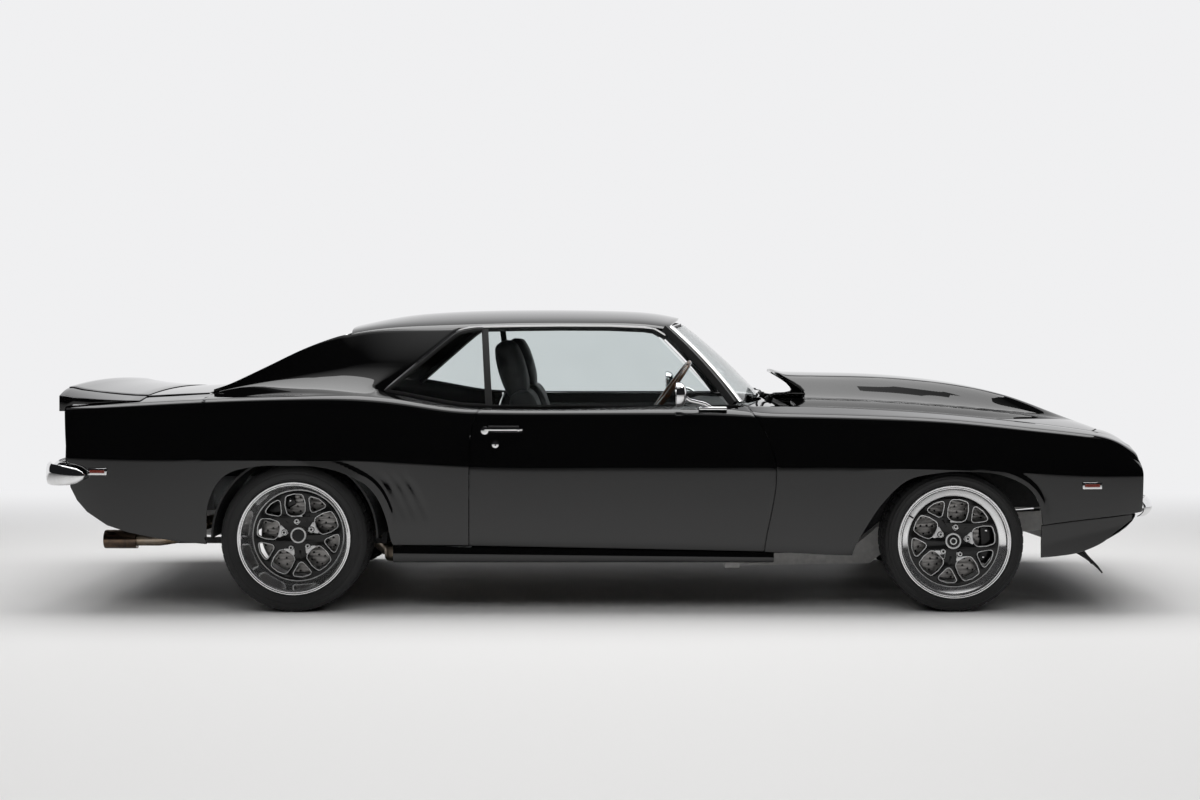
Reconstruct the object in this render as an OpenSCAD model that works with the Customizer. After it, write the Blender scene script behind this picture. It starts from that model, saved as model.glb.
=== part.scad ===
/* [Overall] */
// Distance between the two axles
wheelbase = 2743; // [2500:1:3300]
// Width over the rear fenders
body_w = 1876; // [1750:1:2260]
// Height of the roof above the ground
roof_h = 1258; // [1180:1:1400]
/* [Wheels] */
// Diameter of a front tyre
front_tyre_d = 586; // [560:1:610]
// Width of a front tyre
front_tyre_w = 240; // [200:1:255]
// Diameter of a rear tyre
rear_tyre_d = 616; // [580:1:640]
// Width of a rear tyre
rear_tyre_w = 312; // [250:1:330]
// Diameter of the tyre's seat on the rim
rim_d = 457; // [430:1:480]
// How far the front spokes lie inside the rim's outer edge
front_dish = 34; // [20:1:60]
// How far the rear spokes lie inside the rim's outer edge
rear_dish = 120; // [40:1:150]
// Diameter of a brake disc
disc_d = 340; // [280:1:370]
/* [Panels] */
// Thickness of the outer body panels
skin = 12; // [6:1:20]
// Thickness of the roof, hood and trunk lid
lid_t = 18; // [10:1:28]
// Width of the gap between panels
gap = 6; // [5:0.5:9]
// Thickness of the glass
glass_t = 5; // [4:0.5:8]
// How far a door's inner face lies inside its belt line
door_inner = 30; // [20:1:60]
// Diameter of the exhaust pipes
pipe_d = 64; // [45:1:80]
/* [Hidden] */

$fn = 48;
hw = body_w / 2;
// Solids on one body that face each other keep this much air
seat = 0.3;
// The tables are drawn for this wheelbase and roof, and then stretched to the sizes above
drawn_wheelbase = 2743;
drawn_roof = 1262;
drawn_skin = 12;
mid_rear = -620;
mid_front = 700;
roof_start = 900;

// Place along the car of a drawn station: only the stretch between the doors' ends changes
function sx(x) = let (d = wheelbase - drawn_wheelbase,
    t = min(1, max(0, (x - mid_rear) / (mid_front - mid_rear)))) x + (t - 0.5) * d;
// Height of a drawn point: only what is above the belt changes
function sz(z) = z <= roof_start ? z
    : roof_start + (z - roof_start) * (roof_h - roof_start) / (drawn_roof - 4 - roof_start);
function lerp(a, b, t) = a + (b - a) * t;

// Smooth look-up of column c in a table whose first column rises
function seg(t, x, i = 0) = i >= len(t) - 2 || x < t[i + 1][0] ? i : seg(t, x, i + 1);
function rise(t, c, i) = i == 0 ? (t[1][c] - t[0][c]) / (t[1][0] - t[0][0])
    : i == len(t) - 1 ? (t[i][c] - t[i - 1][c]) / (t[i][0] - t[i - 1][0])
    : (t[i + 1][c] - t[i - 1][c]) / (t[i + 1][0] - t[i - 1][0]);
function look(t, x, c) = let (i = seg(t, x), h = t[i + 1][0] - t[i][0],
    s = min(1, max(0, (x - t[i][0]) / h)), m0 = rise(t, c, i) * h, m1 = rise(t, c, i + 1) * h)
    t[i][c] * (1 + 2 * s) * (1 - s) * (1 - s) + m0 * s * (1 - s) * (1 - s)
    + t[i + 1][c] * s * s * (3 - 2 * s) + m1 * s * s * (s - 1);

// Sections of one body side. Columns: station x, inset of the lower edge from the widest line,
// height of the lower edge, inset and height of the crease, sharpness of the crease, inset and
// height of the shoulder, inset and height of the shelf's inner edge
SIDE = [
    [-2285, 104, 500, 66, 632, 0.5, 99, 822, 298, 868],
    [-2100, 66, 360, 40, 632, 0.5, 78, 832, 298, 880],
    [-1850, 46, 300, 18, 632, 0.5, 66, 846, 298, 893],
    [-1600, 40, 281, 4, 632, 0.6, 60, 858, 290, 905],
    [-1306, 38, 270, 0, 632, 0.7, 56, 866, 228, 915],
    [-1050, 40, 268, 2, 630, 0.6, 56, 862, 188, 925],
    [-850, 42, 270, 8, 622, 0.4, 60, 842, 166, 900],
    [-640, 44, 275, 16, 612, 0.2, 66, 812, 148, 862],
    [-500, 46, 278, 20, 606, 0.15, 68, 806, 140, 852],
    [0, 48, 270, 22, 605, 0.1, 68, 804, 138, 852],
    [500, 46, 260, 20, 605, 0.15, 66, 798, 138, 852],
    [620, 44, 256, 18, 606, 0.2, 66, 794, 176, 850],
    [740, 42, 250, 14, 606, 0.25, 65, 792, 236, 849],
    [900, 39, 244, 11, 606, 0.35, 64, 789, 236, 846],
    [1100, 36, 240, 6, 602, 0.5, 62, 784, 236, 838],
    [1437, 34, 235, 0, 594, 0.6, 58, 768, 236, 815],
    [1750, 42, 300, 12, 580, 0.5, 64, 736, 236, 782],
    [2000, 60, 360, 34, 566, 0.4, 80, 708, 236, 750],
    [2150, 82, 390, 56, 566, 0.3, 100, 668, 236, 714],
    [2233, 106, 410, 80, 570, 0.2, 124, 612, 236, 672]];
function side(x, c) = look(SIDE, x, c);
shoulder_r = 34;
function side_y(x, z) = let (zc = side(x, 4), yc = side(x, 3), k = side(x, 5))
    z <= zc ? let (t = (zc - z) / (zc - side(x, 2)))
        hw - yc - (side(x, 1) - yc) * (k * t + (1 - k) * t * t)
    : let (t = (z - zc) / (side(x, 7) - zc)) hw - yc - (side(x, 6) - yc) * (0.3 * t + 0.7 * t * t);
function side_pt(x, z) = [sx(x), -side_y(x, z), z];
// The rounded shoulder and the shelf inside it, w from 0 at the shoulder to 1 at the inner edge
function shelf_pt(x, w) = let (y0 = hw - side(x, 6), z0 = side(x, 7), y1 = hw - side(x, 8),
    z1 = side(x, 9), rise_z = shoulder_r * 0.8, cy = y0 - 4, cz = z0 + rise_z,
    e = min(0.5, shoulder_r / max(1, cy - y1)), ey = lerp(cy, y1, e), ez = lerp(cz, z1, e))
    w < 0.5 ? let (t = w / 0.5) [sx(x), -((1 - t) * (1 - t) * y0 + 2 * t * (1 - t) * cy + t * t * ey),
        (1 - t) * (1 - t) * z0 + 2 * t * (1 - t) * cz + t * t * ez]
    : let (t = (w - 0.5) / 0.5) [sx(x), -lerp(ey, y1, t), lerp(ez, z1, t)];

// Height of the shelf's flat part at a distance y from the centre line
function shelf_z(x, y) = let (a = shelf_pt(x, 0.5), b = shelf_pt(x, 1)) lerp(a[2], b[2], (y + a[1]) / (a[1] - b[1]));

// Wheel arch outlines round each wheel's centre. Columns: angle up from forwards, radius
FRONT_ARCH = [[-9, 352], [12, 365], [33, 367], [54, 331], [75, 299], [90, 291], [112, 305],
    [133, 345], [154, 365], [172, 388], [188, 430]];
REAR_ARCH = [[-6, 397], [13, 390], [33, 380], [50, 346], [73, 313], [95, 303], [117, 335],
    [138, 384], [157, 386], [170, 376], [184, 378]];
front_x = 1437;
rear_x = -1306;
front_z = front_tyre_d / 2;
rear_z = rear_tyre_d / 2;
// The outer face of each rim lies at rim_y from the centre line; its spokes and disc lie inside it
rim_y_front = hw - 40;
rim_y_rear = hw - 34;
spoke_t = 26;
disc_t = 28;
disc_gap = 30;
// Running gap at the hubs
hub_gap = 0.6;
disc_in_front = rim_y_front - front_dish - spoke_t - disc_gap - disc_t;
disc_in_rear = rim_y_rear - rear_dish - spoke_t - disc_gap - disc_t;
kingpin_y = disc_in_front - 46;
arch_front_z = 297;
arch_rear_z = 310;
function arch_pt(table, cx, cz, a) = let (r = look(table, a, 1)) [cx + r * cos(a), cz + r * sin(a)];

// Door cut lines in the side view. Columns: height, station x
FRONT_CUT = [[250, 644], [330, 656], [430, 676], [540, 692], [650, 686], [766, 641], [816, 608],
    [860, 578]];
REAR_CUT = [[250, -577], [704, -572], [779, -562], [860, -533]];
function front_cut(z) = look(FRONT_CUT, z, 1);
function rear_cut(z) = look(REAR_CUT, z, 1);
// Tail edge of the quarter panel
function tail_edge(z) = z > 600 ? -2252 - (z - 600) * 0.1 : -2252 + (600 - z) * 0.08;

// Closed shell between two grids of points. Outer faces point to cross(row step, column step)
module shell(outer, inner) {
    n = len(outer);
    m = len(outer[0]);
    k = n * m;
    function tri2(a, b, c, d) = [[a, b, c], [a, c, d]];
    faces = [
        for (i = [0:n - 2], j = [0:m - 2]) each
            tri2(i * m + j, i * m + j + 1, (i + 1) * m + j + 1, (i + 1) * m + j),
        for (i = [0:n - 2], j = [0:m - 2]) each
            tri2(k + (i + 1) * m + j, k + (i + 1) * m + j + 1, k + i * m + j + 1, k + i * m + j),
        for (i = [0:n - 2]) each
            tri2(i * m, (i + 1) * m, k + (i + 1) * m, k + i * m),
        for (i = [0:n - 2]) each
            tri2((i + 1) * m + m - 1, i * m + m - 1, k + i * m + m - 1, k + (i + 1) * m + m - 1),
        for (j = [0:m - 2]) each
            tri2(j + 1, j, k + j, k + j + 1),
        for (j = [0:m - 2]) each
            tri2((n - 1) * m + j, (n - 1) * m + j + 1, k + (n - 1) * m + j + 1, k + (n - 1) * m + j)];
    polyhedron([for (r = outer) each r, for (r = inner) each r], faces, convexity = 8);
}
// The same grid, moved inwards by t
function inside(g, t) = let (n = len(g), m = len(g[0])) [for (i = [0:n - 1]) [for (j = [0:m - 1])
    let (a = g[min(i + 1, n - 1)][j] - g[max(i - 1, 0)][j],
        b = g[i][min(j + 1, m - 1)] - g[i][max(j - 1, 0)], c = cross(a, b)) g[i][j] - c / norm(c) * t]];
function side_inside(g, t) = let (q = inside(g, t)) [for (i = [0:len(g) - 1]) [for (j = [0:len(g[i]) - 1])
    j == len(g[i]) - 1 ? g[i][j] - [0, 0, t] : q[i][j]]];
function below(g, t) = [for (r = g) [for (p = r) p - [0, 0, t]]];
module both() {
    children();
    mirror([0, 1, 0]) children();
}

// Grid of a side panel: its bottom outline, the stations of its top, and its two end lines
side_rows = 6;
shelf_rows = 4;
function side_grid(bottom, top0, top1, end0, end1) = let (n = len(bottom) - 1,
    b0 = bottom[0][0], b1 = bottom[n][0])
    [for (i = [0:n]) let (u = (bottom[i][0] - b0) / (b1 - b0), xt = lerp(top0, top1, u))
        [for (j = [0:side_rows + shelf_rows]) let (s = min(1, j / side_rows),
            w = max(0, (j - side_rows) / shelf_rows), x0 = lerp(bottom[i][0], xt, s),
            z0 = w > 0 ? shelf_pt(x0, w)[2] : lerp(bottom[i][1], side(x0, 7), s),
            x = x0 + (1 - u) * (end0(z0) - lerp(b0, top0, s)) + u * (end1(z0) - lerp(b1, top1, s)),
            z = lerp(bottom[i][1], side(x, 7), s))
            w > 0 ? shelf_pt(x, w) : side_pt(x, z)]];

FENDER_BOTTOM = [[644 + gap, 252], [820, 244], [940, 238],
    for (a = [188:-11:12]) arch_pt(FRONT_ARCH, front_x, arch_front_z, a),
    [1808, 366], [1960, 384], [2110, 398], [2190, 406], [2231, 412]];
module front_fender() {
    cut = function (z) front_cut(z) + gap;
    nose = function (z) 2233 - max(0, z - 620) * 0.25;
    g = side_grid(FENDER_BOTTOM, front_cut(850) + gap, 2185, cut, nose);
    color("black") shell(g, side_inside(g, skin));
}
module front_fender_right() front_fender();
module front_fender_left() mirror([0, 1, 0]) front_fender();

QUARTER_BOTTOM = [[-2247, 517], [-2225, 462], [-2185, 414], [-2102, 360], [-2010, 331],
    [-1894, 308], [-1780, 291], for (a = [184:-10:4]) arch_pt(REAR_ARCH, rear_x, arch_rear_z, a),
    [-911, 296], [-900, 281], [-740, 280], [-577 - gap, 279]];
module quarter() {
    cut = function (z) rear_cut(z) - gap;
    tail = function (z) tail_edge(z);
    g = side_grid(QUARTER_BOTTOM, tail_edge(860), rear_cut(850) - gap, tail, cut);
    color("black") shell(g, side_inside(g, skin));
    color("black") roof_pillar();
}
module quarter_panel_right() quarter();
module quarter_panel_left() mirror([0, 1, 0]) quarter();

// Roof pillar behind the side windows, from the shelf to the roof. Columns of PILLAR_TOP: station,
// height of its top where the rear window cuts it off
PILLAR_TOP = [[-1690, 918], [-1620, 942], [-1470, 1012], [-1299, 1094], [-1150, 1148], [-1105, 1154]];
PILLAR_STEPS = 12;
pillar_rear = -1690;
pillar_front = -946;
pillar_front_top = -643;
roof_rail_inset = 326;
function rail_bottom(x) = look(ROOF, max(x, -1105), 2) - lid_t;
function pillar_top(x) = x < -1105 ? look(PILLAR_TOP, x, 1) : rail_bottom(x) + 1.4;
function pillar_pt(x, z) = let (z0 = side(x, 9), s = (z - z0) / (rail_bottom(x) - z0))
    [sx(x), -(hw - lerp(side(x, 8), roof_rail_inset - 4, s) + 40 * s * (1 - s)), sz(z)];
module roof_pillar() {
    g = [for (i = [0:PILLAR_STEPS]) let (u = i / PILLAR_STEPS, xb = lerp(pillar_rear, pillar_front, u),
        xt = lerp(pillar_rear, pillar_front_top, u), zb = side(xb, 9) + seat, zt = pillar_top(xt))
        [for (j = [0:5]) let (t = j / 5) pillar_pt(lerp(xb, xt, t), lerp(zb, zt, t))]];
    shell(g, inside(g, skin * 2));
}

// Roof sections. Columns: station, inset and height of the drip rail, height on the centre line
ROOF = [
    [-1105, 326, 1170, 1192],
    [-1044, 326, 1180, 1206],
    [-917, 326, 1190, 1232],
    [-739, 328, 1194, 1250],
    [-395, 330, 1203, 1260],
    [0, 330, 1205, 1256],
    [180, 332, 1200, 1240],
    [254, 334, 1190, 1224],
    [320, 338, 1178, 1208]];
function roof_rail(x) = hw - look(ROOF, x, 1);
function roof_z(x, f) = sz(lerp(look(ROOF, x, 3), look(ROOF, x, 2), pow(abs(f), 2.4)));
roof_front = 318;
roof_rear = -1100;
header_bow = 60;
rear_bow = 22;
module roof_panel() {
    g = [for (i = [0:14]) [for (j = [0:12]) let (f = -cos(j * 15),
        x = lerp(roof_rear - rear_bow * (1 - f * f), roof_front - header_bow * f * f, i / 14))
        [sx(x), f * roof_rail(x), roof_z(x, f)]]];
    color("black") shell(g, inside(g, lid_t));
}

// Windshield: its base line and top line bow forwards in the middle
glass_base_x = 690;
glass_base_side = 556;
glass_base_inset = 180;
glass_base_z = 866;
glass_top_x = 330;
glass_top_side = 268;
glass_top_inset = 350;
function screen_pt(f, w, grow = 0) = let (b = [glass_base_x - (glass_base_x - glass_base_side) * f * f,
        f * (hw - glass_base_inset), glass_base_z + 2 * (1 - f * f)],
    t = [glass_top_x - (glass_top_x - glass_top_side) * f * f, f * (hw - glass_top_inset),
        lerp(1200, 1184, f * f)], p = lerp(b, t, w), bulge = 10 * w * (1 - w) * 4)
    [sx(p[0] + bulge), p[1], sz(p[2] + bulge * 0.7)];
module windshield() {
    g = [for (j = [0:6]) [for (i = [0:10]) screen_pt(cos(18 * (10 - i)), 0.015 + 0.95 * j / 6)]];
    color("lightgray", 0.4) shell([for (i = [0:6]) g[6 - i]], inside([for (i = [0:6]) g[6 - i]], glass_t));
}
pillar_w = 42;
pillar_t = 26;
module windshield_frame() color("black") both() {
    y0 = -(hw - glass_base_inset) - pillar_t - 6.5;
    hull() {
        translate([sx(556) - pillar_w + 8, y0, 852 + gap]) cube([sx(650) - sx(556), pillar_t, 6]);
        translate([sx(262) - pillar_w + 2, -(hw - glass_top_inset) - pillar_t - 12.5, sz(1160)])
            cube([pillar_w, pillar_t * 0.8, 6]);
    }
    // Foot on the fender's shelf
    translate([sx(598), y0 + 2, 851]) cube([16, pillar_t - 4, gap + 4]);
}

// Rear window between the roof pillars. Columns: share of its height, station, height, half width
BACKLIGHT = [[0, -1684, 908, 616], [0.3, -1520, 986, 614], [0.7, -1290, 1090, 600],
    [1, -1128, 1160, 590]];
module rear_window() {
    g = [for (i = [0:7]) [for (j = [0:10]) let (f = -cos(j * 18), s = i / 7)
        [sx(look(BACKLIGHT, s, 1) - 24 * (1 - f * f) * (1 - s * 0.3)),
            f * (look(BACKLIGHT, s, 3) + 1.3 + hw - 938 - (skin - drawn_skin)), sz(look(BACKLIGHT, s, 2) - 10 * f * f * s)]]];
    color("lightgray", 0.4) shell(g, inside(g, glass_t));
}

// Side glass leans in above the belt
belt_z = 853.3;
function glass_y(z) = hw - 148 - (z - belt_z) * 0.54 + 10 * (z - belt_z) * (1200 - z) / 30000;
function side_glass_pt(p) = [sx(p[0]), -glass_y(p[1]), sz(p[1])];
// A side glass between four corners: rear bottom, rear top, front bottom, front top
module side_glass(rb, rt, fb, ft, steps = 5) {
    g = [for (i = [0:steps]) [for (j = [0:steps]) let (u = i / steps, s = j / steps)
        side_glass_pt(lerp(lerp(rb, rt, s), lerp(fb, ft, s), u))]];
    color("lightgray", 0.4) shell(g, inside(g, glass_t));
}
module door_glass() side_glass([-494, belt_z], [-522, 1178], [500, belt_z], [186, 1178], 6);
module door_glass_right() door_glass();
module door_glass_left() mirror([0, 1, 0]) door_glass();
function pillar_edge(t) = [lerp(pillar_front, pillar_front_top, t) + 2,
    lerp(side(pillar_front, 9) + seat, pillar_top(pillar_front_top), t)];
module quarter_glass() both()
    side_glass(pillar_edge(0.01), pillar_edge(0.94), [-512, 855], [-537, 1172], 4);

// Door: its outer skin, closed by a flat inner face that stands in from the cut lines
door_draft = 16;
door_steps = 10;
DOOR_BOTTOM = [for (i = [0:door_steps]) [lerp(-577, 644, i / door_steps), lerp(280, 256, i / door_steps)]];
module door() {
    rear = function (z) rear_cut(z);
    front = function (z) front_cut(z);
    g = side_grid(DOOR_BOTTOM, rear_cut(850), front_cut(850), rear, front);
    inner = [for (i = [0:door_steps]) let (u = i / door_steps) [for (j = [0:side_rows + shelf_rows])
        let (p = g[i][j], s = min(1, j / side_rows))
        [p[0] + lerp(door_draft, -door_draft, u), -(hw - side(0, 8) - door_inner),
            lerp(p[2] + 4, min(p[2], 849), s)]]];
    color("black") shell(g, inner);
}
module door_right() door();
module door_left() mirror([0, 1, 0]) door();

// Door mirror: a foot on the door's shoulder, a stem and a round head that tapers forwards
mirror_x = 455;
mirror_foot = shelf_pt(mirror_x, 0.62);
mirror_head = [-138, -72, 62];
module mirror_right() color("silver") translate(mirror_foot) {
    slope = atan2(shelf_pt(mirror_x, 1)[2] - mirror_foot[2], shelf_pt(mirror_x, 1)[1] - mirror_foot[1]);
    rotate([slope, 0, 0]) translate([-52, -11, 0.8]) cube([112, 22, 7]);
    run([[-42, 0, 6], mirror_head + [34, 10, -8]], 12);
    translate(mirror_head) rotate([0, -84, 8]) translate([0, 0, -34]) cylinder(h = 62, d1 = 40, d2 = 106, $fn = 32);
}
module mirror_left() mirror([0, 1, 0]) mirror_right();

// Hood, with a scoop that rises to the rear. Columns: station, scoop height, scoop half width
SCOOP = [[738, 104, 372], [830, 99, 370], [1100, 102, 356], [1435, 101, 330], [1670, 87, 300],
    [1843, 60, 270], [2019, 16, 236], [2100, 2, 215], [2186, 0, 200]];
hood_inset = 236;
hood_crown = 30;
hood_front = 2186;
hood_front_side = 2052;
function hood_side() = hw - hood_inset - gap;
function scoop_f(x, y) = let (t = abs(y) / look(SCOOP, x, 2)) t < 0.72 ? 1 - 0.06 * t * t
    : t > 1.06 ? 0 : let (s = (1.06 - t) / 0.34) 0.97 * s * s * (3 - 2 * s);
function hood_z(x, y) = side(max(x, 900), 9) + hood_crown * (1 - pow(y / (hw - hood_inset), 2))
    + look(SCOOP, x, 1) * scoop_f(x, y);
// Across the hood. Columns: share of the half width, station of the rear edge there
HOOD_ACROSS = [[0, 742], [0.22, 744], [0.38, 752], [0.43, 800], [0.48, 856], [0.525, 872],
    [0.57, 820], [0.7, 792], [0.85, 792], [1, 792]];
module hood() {
    ys = [for (i = [len(HOOD_ACROSS) - 1:-1:1]) [-HOOD_ACROSS[i][0], HOOD_ACROSS[i][1]],
        for (r = HOOD_ACROSS) r];
    g = [for (i = [0:16]) [for (r = ys) let (y = r[0] * hood_side(),
        x = lerp(r[1], hood_front - (hood_front - hood_front_side) * pow(abs(r[0]), 2), i / 16))
        [sx(x), y, hood_z(x, y)]]];
    color("black") shell(g, below(g, lid_t));
}

// Trunk lid: top sections to the rear edge, then down the tail. Columns: station, height, crown
LID = [[-1712, 903, 10], [-1850, 897, 14], [-2000, 889, 16], [-2150, 880, 16], [-2236, 872, 16],
    [-2258, 862, 14], [-2268, 846, 6], [-2270, 800, 0]];
lid_inset = 298;
module trunk_lid() {
    g = [for (i = [len(LID) - 1:-1:0]) [for (j = [0:8]) let (f = j / 4 - 1,
        y = f * (hw - lid_inset - gap))
        [sx(LID[i][0] + (i == 0 ? 22 * f * f - 22 : 0)), y, LID[i][1] + LID[i][2] * (1 - f * f)]]];
    color("black") shell(g, inside(g, lid_t));
}
// Spoiler on the lid's tail. Columns: station, height of its top, height of its underside over the lid
SPOILER = [[-1985, 3, 0], [-2100, 14, 0], [-2200, 30, 0.8], [-2262, 42, 2], [-2300, 52, 20], [-2322, 54, 34]];
function lid_z(x, f) = look([for (i = [4:-1:0]) LID[i]], max(x, -2236), 1)
    + look([for (i = [4:-1:0]) LID[i]], max(x, -2236), 2) * (1 - f * f);
spoiler_split = hw - lid_inset;
spoiler_bow = 20;
spoiler_lift = 0.9;
function spoiler_row(y, base, share) = let (b = spoiler_bow * pow(y / hw, 2)) concat(
    [for (r = SPOILER) [sx(r[0]) + b, y, base(r[0]) + lerp(r[2], r[1], share) + spoiler_lift]],
    [for (k = [len(SPOILER) - 1:-1:0]) [sx(SPOILER[k][0]) + b, y, base(SPOILER[k][0]) + SPOILER[k][2] + spoiler_lift]]);
// Solid through a run of sections, each an outer line followed by its inner line backwards
module tube(rows) {
    n = len(rows);
    m = len(rows[0]);
    half = floor(m / 2);
    area = [for (k = [0:m - 1]) cross(rows[0][k], rows[0][(k + 1) % m])];
    turn = [for (c = area) 1] * area * (rows[n - 1][0] - rows[0][0]);
    r = turn > 0 ? rows : [for (i = [n - 1:-1:0]) rows[i]];
    cap = [for (k = [0:half - 2]) each [[k, k + 1, m - 2 - k], [k, m - 2 - k, m - 1 - k]],
        if (m % 2 == 1) [half - 1, half, half + 1]];
    faces = [for (t = cap) t, for (t = cap) [for (k = [2:-1:0]) (n - 1) * m + t[k]],
        for (i = [0:n - 2], k = [0:m - 1]) each let (a = i * m + k, b = i * m + (k + 1) % m,
            c = (i + 1) * m + (k + 1) % m, d = (i + 1) * m + k) [[a, d, c], [a, c, b]]];
    polyhedron([for (q = r) each q], faces, convexity = 6);
}
module spoiler() color("black") tube([for (i = [-5:5]) let (y = i / 5 * (spoiler_split - gap / 2),
    f = y / (hw - lid_inset - gap), lid = function (x) lid_z(x, f)) spoiler_row(y, lid, 1)]);
// The lip goes on over the quarter panel's shelf to the body's side, rising off it
end_rise = 1.2;
module spoiler_ends() color("black") mirror([0, 1, 0]) both()
    tube([for (i = [0:3]) let (y = i == 0 ? spoiler_split + gap / 2 : -shelf_pt(-2200, lerp(0.98, 0.58, i / 3))[1],
        shelf = function (x) shelf_z(max(x, -2262), y) + end_rise * i) spoiler_row(y, shelf, 1 - 0.1 * i)]);

// Tail: recessed panel between the quarter panels and the rounded pan below it
tail_x = -2256;
tail_z0 = 524;
tail_z1 = 796;
plate_pitch = 177.8;
plate_hole_d = 6.4;
plate_z = 700;
function tail_half(z) = side_y(-2240, z) - skin - 3.4;
TAIL_LINE = [for (i = [0:4]) lerp(tail_z0, tail_z1 - gap, i / 4)];
module tail_panel() color("black") {
    translate([sx(tail_x), 0, 0]) difference() {
        rotate([90, 0, 90]) linear_extrude(skin) polygon([for (z = TAIL_LINE) [tail_half(z), z],
            for (i = [4:-1:0]) [-tail_half(TAIL_LINE[i]), TAIL_LINE[i]]]);
        both() translate([-1, plate_pitch / 2, plate_z]) rotate([0, 90, 0]) cylinder(h = skin + 2, d = plate_hole_d);
    }
    // Rubber stops that the trunk lid rests on
    both() translate([sx(tail_x) + 6, 420, tail_z1 - gap]) cylinder(h = gap + 3, d = 8);
    tube([for (i = [-6:6]) let (f = i / 6, y = f * (hw - 126))
        [for (p = [[-2240, 523], [-2222, 460], [-2182, 412], [-2100, 362], [-2010, 334],
            [-2000, 344], [-2095, 374], [-2172, 422], [-2208, 466], [-2226, 523]])
            [sx(p[0] + 8 * f * f), y, p[1]]]]);
}
module tail_lamps() color("darkred") both()
    for (k = [0:2]) translate([sx(tail_x) - 12, 372 + k * 158, 664]) cube([12 - seat, 146, 96]);

// Nose panel above the grille, from the hood's front edge to the face
module nose_panel() {
    g = [for (i = [0:4]) [for (j = [0:12]) let (f = j / 6 - 1, y = f * (hw - hood_inset - seat),
        s = i / 4, x0 = hood_front + gap + 3 - (hood_front - hood_front_side) * f * f,
        x1 = 2318 - 92 * f * f, x = lerp(x0, x1, s), z0 = hood_z(min(x0, 2186), y))
        [sx(x), y, lerp(z0, lerp(668, 652, f * f), s * s * 0.7 + s * 0.3)]]];
    color("black") shell(g, inside(g, lid_t));
}
grille_x = 2196;
module grille() color("black") {
    translate([sx(grille_x), -(hw - 128), 470]) cube([10, 2 * (hw - 128), 130]);
    for (k = [0:4]) translate([sx(grille_x) + 10, -(hw - 360), 482 + k * 25]) cube([34, 2 * (hw - 360), 5]);
}
module headlamps() color("white", 0.6) both()
    translate([sx(grille_x) + 10 + seat, hw - 240, 552]) rotate([0, 90, 0]) cylinder(h = 32, d1 = 178, d2 = 166);

// Bumpers: a curved blade that bows in plan. Columns: share of half width, station, blade height
FRONT_BLADE = [[0, 2362, 84], [0.5, 2350, 84], [0.8, 2326, 82], [0.93, 2292, 78], [1, 2250, 72]];
REAR_BLADE = [[0, -2362, 92], [0.6, -2360, 92], [0.85, -2352, 92], [0.95, -2330, 88], [1, -2280, 76]];
module blade(table, zc, half, dir) {
    t = 14;
    rows = [for (i = [-12:12]) let (f = sin(i * 7.5), x = look(table, abs(f), 1), h = look(table, abs(f), 2))
        [for (a = [-60:30:60]) [sx(x) - dir * 30 * (1 - cos(a)), f * half, zc + h / 2 * sin(a) / sin(60)],
            for (a = [60:-30:-60]) [sx(x) - dir * (t + 30 * (1 - cos(a))), f * half,
                zc + (h / 2 - 4) * sin(a) / sin(60)]]];
    tube(rows);
}
module front_bumper() color("silver") {
    blade(FRONT_BLADE, 424, hw - 130, 1);
    both() translate([sx(2150) + seat, 384, 386]) cube([188, 44, 36]);
}
module rear_bumper() color("silver") {
    blade(REAR_BLADE, 576, hw - 70, -1);
    both() translate([sx(-2349), 330, 556]) cube([93 - seat, 44, 40]);
}

// Front valance below the bumper, its ends continue the wheel arches, and the chin blade below
module front_valance() color("black") {
    both() tube([for (p = [[1796, 226, 340], [1870, 232, 366], [1960, 246, 376], [2060, 286, 388], [2130, 340, 392],
            [2190, 380, 398]])
        let (y = hw - lerp(50, 96, (p[0] - 1796) / 394))
        [[sx(p[0]), -y, p[2]], [sx(p[0]), -y + 14, p[1]], [sx(p[0]), -y + 26, p[1]], [sx(p[0]), -y + 12, p[2]]]]);
    tube([for (i = [-6:6]) let (f = i / 6, y = f * (hw - 112), b = 70 * (1 - f * f))
        [[sx(2196 + b), y, 378], [sx(2150 + b), y, 336], [sx(2070 + b), y, 286], [sx(2060 + b), y, 294],
            [sx(2140 + b), y, 346], [sx(2184 + b), y, 382]]]);
    tube([for (i = [-5:5]) let (f = i / 5, y = f * (hw - 94), b = 60 * (1 - f * f))
        [[sx(2066 + b), y, 156], [sx(2030 + b), y, 196], [sx(1982 + b), y, 256],
            [sx(1970 + b), y, 252], [sx(2018 + b), y, 192], [sx(2052 + b), y, 150]]]);
}

// Sills below the doors
sill_x0 = -898;
sill_x1 = 690;
module rockers() color("black") both() tube([for (e = [[sill_x0, 280.2], [-590, 278.5], [-580, 273], [sill_x1, 246]])
    [for (p = [[hw - 52, e[1]], [hw - 44, 236], [hw - 52, 206], [hw - 90, 202], [hw - 190, 206], [hw - 190, e[1]]])
        [sx(e[0]), p[0], p[1]]]]);

// Floor: pressed pan with a tunnel, a kick-up over the axle and the trunk floor
floor_half = hw - 190 - seat;
floor_z = 226;
floor_t = 8;
axle_half = 540;
tub_r = 340;
tunnel_half = 150;
tunnel_top = 408;
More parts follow.
